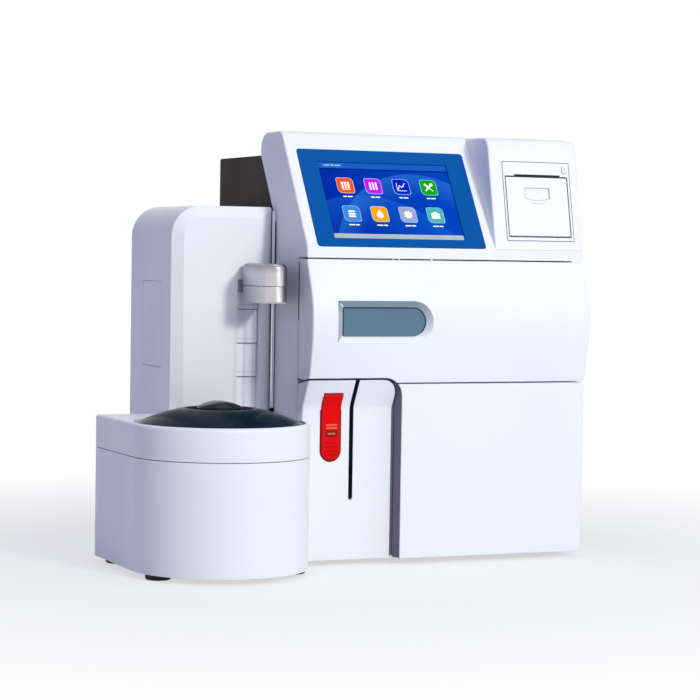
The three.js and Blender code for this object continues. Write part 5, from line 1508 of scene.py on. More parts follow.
@dataclass
class Display(Assembly):
    """The touch screen in its blue frame, with a plain generic menu."""

    lean: float = 32.1
    foot_y: float = 8.6
    foot_z: float = 322.2
    left: float = 33.1
    right: float = 181.1
    low: float = 11.1
    high: float = 104.3
    glass: float = -0.6
    layer: float = 0.05
    air: float = 0.01
    tile: float = 19.4
    rim: float = 0.55
    word_gap: float = 0.8
    columns: tuple[float, ...] = (58.8, 90.5, 122.8, 154.7)
    rows: tuple[float, float] = (76.0, 41.4)

    @property
    def face(self) -> Face:
        """The slope that the screen lies in."""
        return Face.leaning(self.foot_y, self.foot_z, self.lean)

    def dress(self) -> None:
        """Dresses the frame, the glass and the module behind it."""
        self.shop.dress(Finishes.bezel, "screen_bezel")
        self.shop.dress(Finishes.glass, "touch_screen")
        self.shop.dress(Finishes.frame, "display_module")

    def build(self) -> None:
        """Adds the picture, its bands and the eight tiles."""
        sheet, level, title = (self.glass + AIR + place * (self.layer + self.air) for place in range(3))
        for name, outline, low, finish in (
            ("menu_sheet", rectangle(self.left, self.low, self.right, self.high), sheet, Finishes.screen),
            ("menu_top_band", rectangle(self.left, 97.2, self.right, self.high), level, Finishes.screen_band),
            ("menu_top_line", rectangle(self.left, 95.8, self.right, 97.1), level, Finishes.screen_line),
            ("menu_foot_bar", rectangle(self.left, self.low, self.right, 16.8), level, Finishes.screen_bar),
            ("menu_title_tab", rectangle(37, 98.2, 61, 103.4, 1.2), title, Finishes.screen_tab),
        ):
            draft = Draft().prism(self.face, outline, low, low + self.layer)
            self.shop.piece(name, draft, finish, Slot.SCREEN)
        words = Draft()
        low, high = title + self.layer, title + self.layer * 2
        for start, end in ((39.5, 46.0), (47.0, 51.0), (52.0, 58.5)):
            words.prism(self.face, rectangle(start, 100.2, end, 101.5, 0.3, 2), low, high)
        self.shop.piece("menu_title_bars", words, Finishes.screen_rim, Slot.SCREEN)
        for tile in self.tiles():
            self.add_tile(tile, level)

    def tiles(self) -> list[Tile]:
        """The eight tiles of the menu.

        Returns:
            The tiles, row by row.
        """
        first, second = self.rows
        one, two, three, four = self.columns
        return [
            Tile("tubes", one, first, tone(250, 80, 22)),
            Tile("bars", two, first, tone(190, 24, 226)),
            Tile("chart", three, first, tone(8, 34, 186)),
            Tile("tools", four, first, tone(10, 158, 20)),
            Tile("records", one, second, tone(56, 126, 206)),
            Tile("drop", two, second, tone(246, 156, 26)),
            Tile("gear", three, second, tone(150, 154, 196)),
            Tile("case", four, second, tone(72, 172, 164)),
        ]

    def leaf(self, u: float, v: float, half: float) -> list[Point]:
        """The outline of a tile: two corners are rounder than the others.

        Args:
            u: Its centre across.
            v: Its centre in height.
            half: Half its width.

        Returns:
            The outline.
        """
        corners = [(u - half, v - half), (u + half, v - half), (u + half, v + half), (u - half, v + half)]
        return rounded(corners, [half * 0.55, half * 0.28, half * 0.55, half * 0.28])

    def add_tile(self, tile: Tile, level: float) -> None:
        """Adds one tile with its rim, its sign and the bars of its caption.

        Args:
            tile: The tile.
            level: The height that it starts from.
        """
        face = self.face
        half = self.tile / 2
        rim = Draft().prism(face, self.leaf(tile.u, tile.v, half), level, level + self.layer)
        self.shop.piece(f"tile_{tile.sign}_rim", rim, Finishes.screen_rim, Slot.SCREEN)
        top = level + self.layer + self.air
        plate = Draft().prism(face, self.leaf(tile.u, tile.v, half - self.rim), top, top + self.layer)
        self.shop.piece(f"tile_{tile.sign}", plate, Lit(f"menu_{tile.sign}", tile.colour), Slot.SCREEN)
        sign = Draft()
        for index, outline in enumerate(self.sign(tile)):
            lift = top + self.layer + index * 0.002
            sign.prism(face, outline, lift, lift + self.layer)
        widths = (4.2, 5.4) if tile.v > self.rows[1] else (6.6, 4.6)
        left = tile.u - (sum(widths) + self.word_gap) / 2
        foot = tile.v - half
        for width in widths:
            bar = rectangle(left, foot - 4.6, left + width, foot - 3.3, 0.3, 2)
            sign.prism(face, bar, level, level + self.layer)
            left += width + self.word_gap
        self.shop.piece(f"tile_{tile.sign}_sign", sign, Finishes.screen_white, Slot.SCREEN)

    def sign(self, tile: Tile) -> list[list[Point]]:
        """The sign on a tile, as outlines.

        Args:
            tile: The tile.

        Returns:
            The outlines in place.
        """
        u, v = tile.u, tile.v
        shapes: list[list[Point]] = []
        if tile.sign == "tubes":
            for offset in (-3.4, 0.0, 3.4):
                left, right = u + offset - 1, u + offset + 1
                tube = [(left, v - 3.4), (right, v - 3.4), (right, v + 3), (left, v + 3)]
                shapes.append(rounded(tube, [0.95, 0.95, 0, 0]))
                shapes.append(rectangle(left - 0.5, v + 3.3, right + 0.5, v + 4.1))
            shapes.append(rectangle(u - 5, v - 5.2, u + 5, v - 4.4))
        elif tile.sign == "bars":
            for offset in (-3.4, 0.0, 3.4):
                shapes.append(rectangle(u + offset - 0.9, v - 4.6, u + offset + 0.9, v + 4.6, 0.5, 3))
        elif tile.sign == "chart":
            shapes.append(rectangle(u - 5.2, v - 4.6, u - 4.6, v + 5))
            shapes.append(rectangle(u - 5.2, v - 5.2, u + 5.2, v - 4.6))
            steps = [(-3.8, -2.6), (-1.8, 1.2), (0.4, -0.6), (2.2, 0.8), (4.2, 4.0)]
            for first, second in zip(steps, steps[1:]):
                shapes.append(stroke((u + first[0], v + first[1]), (u + second[0], v + second[1]), 0.7))
            shapes.extend(disc(u + step[0], v + step[1], 0.7, 10) for step in steps)
        elif tile.sign == "tools":
            shapes.append(stroke((u - 4.2, v - 4.2), (u + 3.0, v + 3.0), 1.7))
            shapes.append(stroke((u + 4.4, v - 4.4), (u + 0.2, v - 0.2), 0.9))
            shapes.append(stroke((u - 0.6, v + 0.6), (u - 4.4, v + 4.4), 2.2))
            shapes.append(disc(u + 3.6, v + 3.6, 2.0, 6))
        elif tile.sign == "records":
            for offset in (-3.6, -0.6, 2.4):
                shapes.append(rectangle(u - 4, v + offset - 0.9, u + 4, v + offset + 1.1, 0.9, 4))
        elif tile.sign == "drop":
            drop = [(u, v + 5.4)]
            for step in range(17):
                turn = math.radians(150 + 240 * step / 16)
                drop.append((u + 3.6 * math.cos(turn), v - 1.6 + 3.6 * math.sin(turn)))
            shapes.append(drop)
        elif tile.sign == "gear":
            gear = []
            for tooth in range(8):
                for part, reach in ((0.0, 3.6), (0.28, 3.6), (0.36, 5.0), (0.72, 5.0), (0.8, 3.6)):
                    turn = 2 * math.pi * (tooth + part) / 8
                    gear.append((u + reach * math.cos(turn), v + reach * math.sin(turn)))
            shapes.append(gear)
        elif tile.sign == "case":
            shapes.append(rectangle(u - 4.8, v - 4.2, u + 4.8, v + 2.4, 0.8))
            shapes.append(rectangle(u - 2.2, v + 2.4, u + 2.2, v + 4.2, 0.6))
        return shapes


@dataclass
class FrontDoor(Assembly):
    """The swing-up door with its tinted window."""

    pane_left: float = 34.7
    pane_low: float = 231.6
    pane_right: float = 128.2
    pane_high: float = 261.0
    pane_front: float = -5.0
    gasket_start: int = 19
    flat: float = 0.01
    face_y: float = -9.6
    recess_left: float = 28.0
    recess_low: float = 224.9
    recess_right: float = 134.9
    recess_high: float = 267.7
    bevel: float = 6.3
    bevel_sink: float = 4.4
    surround_lift: float = 0.16
    least_share: float = 0.02
    touch: float = 0.06
    halvings: int = 7
    arch_right: float = 105.3
    arch_top: float = 188.4
    arch_round: float = 19.0
    seam_middle: float = 310.4
    seam_span: tuple[int, int] = (2, 318)
    film_half: float = 0.5
    deepest: float = 20.0
    step_limit: float = 0.3

    def dress(self) -> None:
        """Dresses the door and the pane."""
        self.shop.dress(Finishes.shell, "front_door")
        self.shop.dress(Finishes.pane, "door_window")

    def pane(self, gap: float) -> list[Point]:
        """The window's outline, square at the left and round at the right.

        Args:
            gap: How far the outline is moved inwards.

        Returns:
            The outline.
        """
        left, right = self.pane_left + gap, self.pane_right - gap
        low, high = self.pane_low + gap, self.pane_high - gap
        half = (high - low) / 2 - self.flat
        return rounded([(left, low), (right, low), (right, high), (left, high)], [0.5, half, half, 0.5], 12)

    def opening(self, gap: float) -> list[Point]:
        """The outline of the recess at the door's face.

        Args:
            gap: How far the outline is moved inwards.

        Returns:
            The outline, with as many points for every gap.
        """
        left, right = self.recess_left + gap, self.recess_right - gap
        low, high = self.recess_low + gap, self.recess_high - gap
        half = (high - low) / 2 - self.flat
        corners = [(left, low), (right, low), (right, high), (left, high)]
        outline = rounded(corners, [0.8, half, half, 0.8], 14)
        top, foot = outline[-1][1], outline[0][1]
        return outline + [(left, top + (foot - top) * step / 9) for step in range(1, 9)]

    def build(self) -> None:
        """Adds the window's surround, a painted shadow line along the pane's top and right, painted shade
        under the arch and the knuckles' painted shade.
        """
        self.add_surround()
        # A painted shadow line along the top and right of the pane only.
        outer, inner = (self.pane(gap)[self.gasket_start:] + self.pane(gap)[:1] for gap in (-0.05, 1.0))
        shadow_line = Draft().band(Face.front(self.pane_front), outer, inner, AIR, 0.35)
        self.shop.piece("window_shadow_line", shadow_line, Finishes.slot_dark, Slot.RUBBER, Body.FRONT_DOOR)
        # Painted shade under the door's arched edge.
        self.shop.piece("arch_painted_shade", self.arch(), Finishes.slot_dark, Slot.RUBBER, Body.FRONT_DOOR)
        self.add_shades()

    def add_shades(self) -> None:
        """Adds dark films on the hinge knuckles' fronts: painted shade that keeps the seam over the door dark
        along its length.
        """
        runs: list[list[float]] = []
        for left in range(*self.seam_span):
            front = self.shop.front_of("upper_housing", left + 0.5, self.seam_middle)
            if front > self.deepest:
                continue
            if runs and runs[-1][1] == left and abs(runs[-1][2] - front) < self.step_limit:
                runs[-1][1] = left + 1
            else:
                runs.append([left, left + 1, front])
        low, high = self.seam_middle - self.film_half, self.seam_middle + self.film_half
        films = Draft()
        for left, right, front in runs:
            films.prism(Face.front(front), rectangle(left, low, right, high), 0.03, 0.12)
        self.shop.piece("knuckle_shades", films, Finishes.slot_black, Slot.RUBBER)
        log.info("%d knuckle shades", len(runs))

    def arch(self) -> Draft:
        """Painted shade under the door's arched edge, over the sample column, where the gap lies in shadow.

        Returns:
            The lining as a draft.
        """
        outer, inner = [], []
        for gap, path in ((0.1, outer), (1.25, inner)):
            right, high, turn = self.arch_right - gap, self.arch_top - gap, self.arch_round - gap
            path.extend((right - turn + turn * math.cos(angle), high - turn + turn * math.sin(angle))
                        for angle in (math.radians(step * 9) for step in range(2, 11)))
            path.append((0.5, high))
        return Draft().band(Face.front(0.0), outer, inner, -2.8, -0.9)

    def crest(self, outer: Point, inner: Point, surface: float) -> float:
        """Where the door's face turns into the recess, between two outlines.

        Args:
            outer: A point on the outline.
            inner: The point that it leads to, beside the pane.
            surface: How far back the door's face is at the outer point.

        Returns:
            The share of the way from the outer point to the inner one.
        """
        low, high = 0.0, (surface - self.face_y) / self.bevel_sink
        if high < self.least_share:
            return self.least_share
        for _ in range(self.halvings):
            share = (low + high) / 2
            x, z = (first + (last - first) * share for first, last in zip(outer, inner))
            met = self.shop.front_of("front_door", x, z)
            if met - self.face_y - share * self.bevel_sink < self.touch:
                high = share
            else:
                low = share
        return high

    def add_surround(self) -> None:
        """Adds the bevel that leads from the door's face down to the pane."""
        lift = self.surround_lift
        rings: list[list[Vector]] = [[], [], [], [], []]
        foot = self.face_y + self.bevel_sink - lift
        for (x, z), (foot_x, foot_z) in zip(self.opening(-0.08), self.opening(self.bevel - 0.1)):
            surface = self.shop.front_of("front_door", x, z)
            share = self.crest((x, z), (foot_x, foot_z), surface)
            turn_x = x + (foot_x - x) * share
            turn_z = z + (foot_z - z) * share
            edge = self.shop.front_of("front_door", turn_x, turn_z)
            rings[0].append(Vector((x, surface + 0.4, z)))
            rings[1].append(Vector((x, surface - lift, z)))
            rings[2].append(Vector((turn_x, min(edge, surface) - lift, turn_z)))
            rings[3].append(Vector((foot_x, foot, foot_z)))
            rings[4].append(Vector((foot_x, foot + 0.5, foot_z)))
        surround = Draft().loop(rings)
        self.shop.piece("window_surround", surround, Finishes.surround, Slot.SHELL, Body.FRONT_DOOR, 50.0)


@dataclass
class SampleStation(Assembly):
    """The column with the red lever and the hand-fed probe."""

    slot_middle: float = 55.2
    slot_half: float = 2.3
    # Thickness of the painted shade films on the slot's walls.
    liner: float = 0.1
    front: float = 16.3
    bend: float = 158.5
    head: float = 186.5
    lean: float = 15.6
    head_lean: float = -29.1
    lever_front: float = 14.7
    lever_left: float = 21.3
    lever_width: float = 21.3
    lever_foot: float = 102.8
    lever_top: float = 172.4
    rib_pitch: float = 4.2
    wall: float = 105.3
    draft: float = 3.0
    ceiling: float = 188.4
    corner: float = 19.0
    alcove_depth: float = 13.6
    # How far the painted shade films stand off the alcove's walls.
    lining: tuple[float, float] = (0.12, 0.24)

    def dress(self) -> None:
        """Dresses the column, the lever and the probe."""
        self.shop.dress(Finishes.shell, "sample_column", "stat_lever_pin")
        self.shop.dress(Finishes.lever, "stat_lever")
        self.shop.dress(Finishes.steel, "stat_probe_pin", "stat_probe_tube")
        # The probe arm sits deep in the slot and takes the slot's painted shade.
        self.shop.dress(Finishes.slot_dark, "stat_probe_arm")

    def build(self) -> None:
        """Adds the lever's blank label, lines and pin covers, the painted shade round its seat, in the slot
        and on the alcove's walls.
        """
        self.add_label()
        self.add_slot()
        self.add_lining()

    def add_label(self) -> None:
        """Adds the films of the blank label, the ribs' inlays, the painted shade round the lever's seat, the
        lever's edge line and its pin's covers.
        """
        face = Face.front(self.lever_front)
        patches = [rectangle(26.4, low, 38.4, low + 1.7, 0.5) for low in (135.6, 138.7)]
        feet = [self.lever_foot + self.lever_width / 4 + rib * self.rib_pitch for rib in range(4)]
        ribs = [rectangle(25.7, low + 0.1, 38.2, low + 1.5) for low in feet]
        for name, outlines, low, high, finish in (
            ("lever_patch", patches, AIR, 0.2, Finishes.lever_patch),
            ("lever_label", [rectangle(25.8, 127.4, 38.8, 134.2, 0.4)], AIR, 0.16, Finishes.lever_label),
            ("lever_label_bar", [rectangle(28.2, 130.0, 36.4, 131.6, 0.5)], 0.17, 0.24, Finishes.lever_patch),
            ("lever_rib_inlays", ribs, 0.81, 0.87, Finishes.lever_rib),
        ):
            draft = Draft()
            for outline in outlines:
                draft.prism(face, outline, low, high)
            self.shop.piece(name, draft, finish, Slot.LEVER, Body.LEVER)
        # Painted shade round the lever's seat on the column, standing for the lever's shaded side.
        outer, inner = [], []
        middle = self.lever_left + self.lever_width / 2
        foot = self.lever_foot + self.lever_width / 2
        for gap, path in ((1.3, outer), (0.32, inner)):
            radius = self.lever_width / 2 + gap
            path.append((middle - radius, self.bend - 1.0))
            path.extend((middle - radius * math.cos(angle), foot - radius * math.sin(angle))
                        for angle in (math.pi * step / 16 for step in range(17)))
            path.append((middle + radius, self.bend - 1.0))
        seam = Draft().band(Face.front(self.front), outer, inner, AIR, 0.1)
        self.shop.piece("lever_seat_painted_shade", seam, Finishes.seat, Slot.LEVER)
        self.shop.piece("lever_edge_line", self.edge_line(), Finishes.lever_edge, Slot.LEVER, Body.LEVER)
        covers = Draft()
        face = Face.leaning(self.front, self.bend, self.head_lean)
        for left in (16.9, 42.9):
            covers.prism(face, rectangle(left, 11.6, left + 4.1, 15.0), AIR, 0.3)
        self.shop.piece("lever_pin_covers", covers, Finishes.shell, Slot.SHELL)

    def edge_line(self) -> Draft:
        """The darker line along the lever's edge, laid on its face.

        Returns:
            The line as a draft.
        """
        middle = self.lever_left + self.lever_width / 2
        foot = self.lever_foot + self.lever_width / 2
        rings: list[list[Vector]] = [[], [], [], []]
        heights = (self.lever_top, 169.0, 164.0, 161.0, self.bend + 0.4, self.bend - 2.0, 140.0)
        for pair, inset in (((0, 1), 0.7), ((3, 2), 1.5)):
            radius = self.lever_width / 2 - inset
            path = [(middle - radius, z - (inset if z == self.lever_top else 0.0)) for z in heights]
            turns = [math.pi * step / 20 for step in range(21)]
            path += [(middle - radius * math.cos(turn), foot - radius * math.sin(turn)) for turn in turns]
            path += [(2 * middle - x, z) for x, z in path[len(heights) - 1::-1]]
            for x, z in path:
                front = self.shop.front_of("stat_lever", x, z)
                rings[pair[0]].append(Vector((x, front + 0.1, z)))
                rings[pair[1]].append(Vector((x, front - 0.05, z)))
        return Draft().loop(rings)

    def front_at(self, z: float) -> float:
        """How far back the column's face is at the height z."""
        return self.front - max(0.0, z - self.bend) * self.lean / (self.head - self.bend)

    def add_slot(self) -> None:
        """Adds painted shade on both walls of the upright slot, as thin dark films."""
        liners = Draft()
        outline = [(-36.0, 63.5), (-self.front - 0.3, 63.5), (-self.front - 0.3, self.bend)]
        outline += [(-self.front_at(z) - 0.3, z) for z in (self.bend + 4, 172.0, self.head - 0.4)]
        outline += [(-36.0, self.head - 0.4)]
        outline.reverse()
        for side, inset in ((-1, 0.14), (1, 0.04)):
            x = self.slot_middle + side * self.slot_half + inset
            liners.prism(Face.left(x), outline, 0.0, self.liner)
        self.shop.piece("slot_painted_shades", liners, Finishes.slot_dark, Slot.RUBBER)

    def alcove(self, y: float, inset: float, angle: float, z: float | None = None) -> Vector:
        """A point on the alcove's wall.

        Args:
            y: How far back it lies.
            inset: How far it stands in front of the wall.
            angle: Where on the corner's arc, from 0 at the side to a quarter turn at the top.
            z: Its height, for a point on the straight side below the arc.

        Returns:
            The point.
        """
        narrow = self.draft * y / self.front
        reach = self.corner - inset
        across = self.wall - narrow - self.corner + reach * math.cos(angle)
        rise = self.ceiling - narrow - self.corner + reach * math.sin(angle)
        return Vector((across, y, rise if z is None else z))

    def turn_at(self, y: float, z: float) -> float:
        """The angle on the corner's arc at a height."""
        middle = self.ceiling - self.draft * y / self.front - self.corner
        return math.asin(min((z - middle) / self.corner, 1.0))

    def add_lining(self) -> None:
        """Adds painted shade on the alcove's walls, one film on each door, and painted shade in the gap
        beside the column.
        """
        steps = 10
        low, high = self.lining
        for name, body, near, seam in (
            ("alcove_side_painted_shade", Body.REAGENT_DOOR, 1.3, 181.4),
            ("alcove_top_painted_shade", Body.FRONT_DOOR, 2.9, 183.5),
        ):
            rings = []
            section = [(near, low), (self.alcove_depth, low), (self.alcove_depth, high), (near, high)]
            if body is Body.REAGENT_DOOR:
                rings.append([self.alcove(y, inset, 0.0, 1.6) for y, inset in section])
                ends = [(0.0, self.turn_at(y, seam)) for y, _ in section]
            else:
                ends = [(self.turn_at(y, seam), math.pi / 2) for y, _ in section]
            for step in range(steps + 1):
                turns = [first + (last - first) * step / steps for first, last in ends]
                rings.append([self.alcove(y, inset, turn) for (y, inset), turn in zip(section, turns)])
            if body is Body.FRONT_DOOR:
                rings.append([Vector((0.6, point.y, point.z)) for point in rings[-1]])
            self.shop.piece(name, Draft().loft(rings), Finishes.trim_dark, Slot.SHELL, body)
        # Painted shade in the gap beside the column.
        filler = Draft().prism(Face.front(15.2), rectangle(100.7, 3.0, 103.4, 181.0, 0.4, 3), -1.4, 0.0, 0.2)
        self.shop.piece("column_gap_painted_shade", filler, Finishes.trim_dark, Slot.SHELL)


@dataclass
class Printer(Assembly):
    """The paper printer behind its door."""

    lean: float = 11.5
    foot_y: float = 7.7
    foot_z: float = 322.2
    frame_film: tuple[float, float] = (0.16, 0.24)
    door_film: tuple[float, float] = (AIR, 0.08)

    @property
    def face(self) -> Face:
        """The face that the printer lies in."""
        return Face.leaning(self.foot_y, self.foot_z, self.lean)

    def dress(self) -> None:
        """Dresses the printer's parts."""
        self.shop.dress(Finishes.shell, "printer_frame", "printer_door", "feed_button")
        self.shop.dress(Finishes.steel, "printer_hinge_rod")
        self.shop.dress(Finishes.rubber, "platen_roller")
        self.shop.dress(Finishes.paper, "paper_roll")

    def build(self) -> None:
        """Adds the seams round the outlet and the door, the painted shade in the paper slot and the marks."""
        face = self.face
        outer, inner = rectangle(228.8, 9.6, 309.6, 95.7, 1.2), rectangle(229.4, 10.2, 309.0, 95.1, 0.9)
        outlet = Draft().frame(face, outer, inner, *self.frame_film)
        self.shop.piece("printer_outlet_seam", outlet, Finishes.seam_dark, Slot.RUBBER)
        outer, inner = rectangle(231.75, 14.95, 306.25, 79.35), rectangle(232.5, 15.35, 305.5, 78.7)
        door = Draft().frame(face, outer, inner, AIR, 0.1)
        self.shop.piece("printer_door_seam", door, Finishes.seam_dark, Slot.RUBBER, Body.PRINTER_DOOR)
        # Painted shade: a black film in the paper slot.
        lining = Draft().prism(face, rectangle(242.6, 79.6, 297.4, 81.9), -0.3, 0.22)
        self.shop.piece("paper_slot_painted_shade", lining, Finishes.slot_black, Slot.RUBBER)
        half = [(254.0, 67.6), (254.0, 56.0), (261.5, 54.2)]
        middle_u, middle_v = 269.0, 61.0
        grip = half + [(middle_u, 53.6)] + [(2 * middle_u - u, v) for u, v in reversed(half)]
        near = [(u + (middle_u - u) * 0.03, v + (middle_v - v) * 0.06) for u, v in grip]
        line = Draft().frame(face, grip, near, *self.door_film)
        self.shop.piece("printer_grip_line", line, Finishes.seam_soft, Slot.SHELL, Body.PRINTER_DOOR)
        edge = [(261.0, 51.9), (265.0, 50.7), (269.0, 50.3), (273.0, 50.7), (277.0, 51.9)]
        lip = Draft().band(face, edge, [(u, v - 0.4) for u, v in edge], *self.door_film)
        self.shop.piece("printer_grip_lip", lip, Finishes.seam_soft, Slot.SHELL, Body.PRINTER_DOOR)
        outer, inner = rectangle(299.9, 82.9, 306.9, 92.1, 1.8), rectangle(300.3, 83.3, 306.5, 91.7, 1.5)
        ring = Draft().frame(face, outer, inner, *self.frame_film)
        self.shop.piece("feed_button_ring", ring, Finishes.seam_faint, Slot.SHELL)
        mark = Draft().prism(face, [(302.3, 88.4), (303.4, 86.4), (304.5, 88.4)], 1.42, 1.5)
        self.shop.piece("feed_button_mark", mark, Finishes.seam_faint, Slot.SHELL, Body.FEED_BUTTON)


@dataclass
class Fluidics(Assembly):
    """Electrodes, pump, reagent pack and the hoses between them."""

    electrodes: int = 5
    first_x: float = 49.0
    pitch: float = 23.0
    electrode_y: float = 25.6
    electrode_top: float = 282.4
    pump_x: float = 236.0
    pump_z: float = 244.0
    hose_y: float = 25.9
    hose_turn: float = 20.25
    pack_left: float = 109.7
    neck_pitch: float = 48.575
    neck_y: float = 62.5
    pack_front: float = 34.5
    stripe_pitch: float = 37.5

    def dress(self) -> None:
        """Dresses the block, the electrodes, the pump and the pack."""
        self.shop.dress(Finishes.inner, "electrode_block", "pump_housing")
        self.shop.dress(Finishes.electrode, *[f"electrode_{place + 1}" for place in range(self.electrodes)])
        self.shop.dress(Finishes.dark, "pump_rotor")
        self.shop.dress(Finishes.pack, "reagent_pack")

    def build(self) -> None:
        """Adds a lead and a coloured cap ring to each electrode, the hose and the reagent pack's trim."""
        top = Face.top(0.0)
        blue = Finishes.cap_blue
        caps = (blue, Finishes.cap_yellow, Finishes.cap_red, Finishes.cap_green, blue)
        steps = ((0.0, 0.0), (0.0, 5.0), (1.5, 8.4), (4.5, 10.4), (8.0, 11.0), (10.6, 11.0))
        y, z = self.electrode_y, self.electrode_top
        leads = Draft()
        for index in range(self.electrodes):
            x = self.first_x + index * self.pitch
            ring = Draft().frame(top, disc(x, y, 10.2, 32), disc(x, y, 9.85, 32), z - 6.4, z - 3.4)
            self.shop.piece(f"electrode_ring_{index + 1}", ring, caps[index], Slot.PACK)
            leads.tube([Vector((x, y + back, z + rise)) for back, rise in steps], 1.3, 12)
        self.shop.piece("electrode_leads", leads, Finishes.rubber, Slot.RUBBER)
        self.add_hose()
        self.add_pack()

    def add_hose(self) -> None:
        """Adds the hose from the electrodes round the pump's rollers and on through the frame."""
        x, y, z, turn = self.pump_x, self.hose_y, self.pump_z, self.hose_turn
        left, right = x - turn, x + turn
        path = [Vector(place) for place in (
            (156.4, y, 219.0), (168.0, y, 218.2), (182.0, y, 213.0), (194.0, y, 206.0), (203.0, y, 202.6),
            (210.0, y, 204.0), (214.4, y, 209.5), (left, y, 217.0), (left, y, 230.0),
        )]
        for step in range(17):
            angle = math.pi - math.pi * step / 16
            path.append(Vector((x + turn * math.cos(angle), y, z + turn * math.sin(angle))))
        path += [Vector(place) for place in (
            (right, y, 230.0), (right, y, 216.0), (right, y + 1.4, 209.0), (right, y + 4.6, 204.6),
            (right, 33.2, 203.0), (right, 35.8, 202.8),
        )]
        smooth = [path[0]]
        for before, here, after in zip(path, path[1:], path[2:]):
            smooth.append((before + here * 2 + after) / 4)
        smooth.append(path[-1])
        self.shop.piece("pump_hose", Draft().tube(smooth, 1.55, 14), Finishes.hose, Slot.ELECTRODE)
        nuts = Draft()
        profile = [(3.4, 0.0), (3.4, 1.6), (2.6, 2.0), (2.2, 4.6), (1.7, 5.0)]
        nuts.turned(Face.front(35.9), right, 202.8, profile, 24)
        side = Face(Vector((156.0, 0.0, 0.0)), REAR, UP, RIGHT)
        nuts.turned(side, y, 219.0, [(3.4, 0.05), (3.4, 2.4), (2.6, 2.8), (2.3, 5.4), (1.7, 5.8)], 24)
        self.shop.piece("hose_nuts", nuts, Finishes.cap_blue, Slot.PACK)

    def add_pack(self) -> None:
        """Adds the coloured collars of the reagent pack's necks and the blank film on its front."""
        top = Face.top(0.0)
        caps = (Finishes.cap_red, Finishes.cap_green, Finishes.cap_yellow, Finishes.cap_blue)
        profile = ((7.05, 171.4), (8.8, 171.4), (8.9, 172.2), (8.7, 178.8), (8.2, 179.4), (7.05, 179.4))
        for index, finish in enumerate(caps):
            x = self.pack_left + self.neck_pitch * (index + 0.5)
            rings = []
            for radius, height in profile:
                points = []
                for u, v in disc(0.0, 0.0, 1.0, 48):
                    reach = radius - (0.25 if radius > 8.5 and len(points) % 2 else 0.0)
                    points.append(top.at(x + u * reach, self.neck_y + v * reach, height))
                rings.append(points)
            self.shop.piece(f"pack_collar_{index + 1}", Draft().loop(rings), finish, Slot.PACK)
        front = Face.front(self.pack_front)
        film = Draft().prism(front, rectangle(128.0, 26.0, 286.0, 104.0, 3.0), AIR, 0.14)
        self.shop.piece("pack_film", film, Finishes.paper, Slot.PAPER)
        for index, finish in enumerate(caps):
            left = 134.0 + index * self.stripe_pitch
            stripe = Draft().prism(front, rectangle(left, 88.0, left + 33.5, 98.0, 1.5), 0.15, 0.24)
            self.shop.piece(f"pack_stripe_{index + 1}", stripe, finish, Slot.PACK)
        lines = Draft()
        for index in range(4):
            for row, width in enumerate((28.0, 24.0, 29.0, 18.0)):
                left, low = 136.0 + index * self.stripe_pitch, 76.0 - row * 9.0
                lines.prism(front, rectangle(left, low, left + width, low + 1.6, 0.5, 2), 0.15, 0.2)
        self.shop.piece("pack_film_lines", lines, Finishes.print_grey, Slot.PAPER)


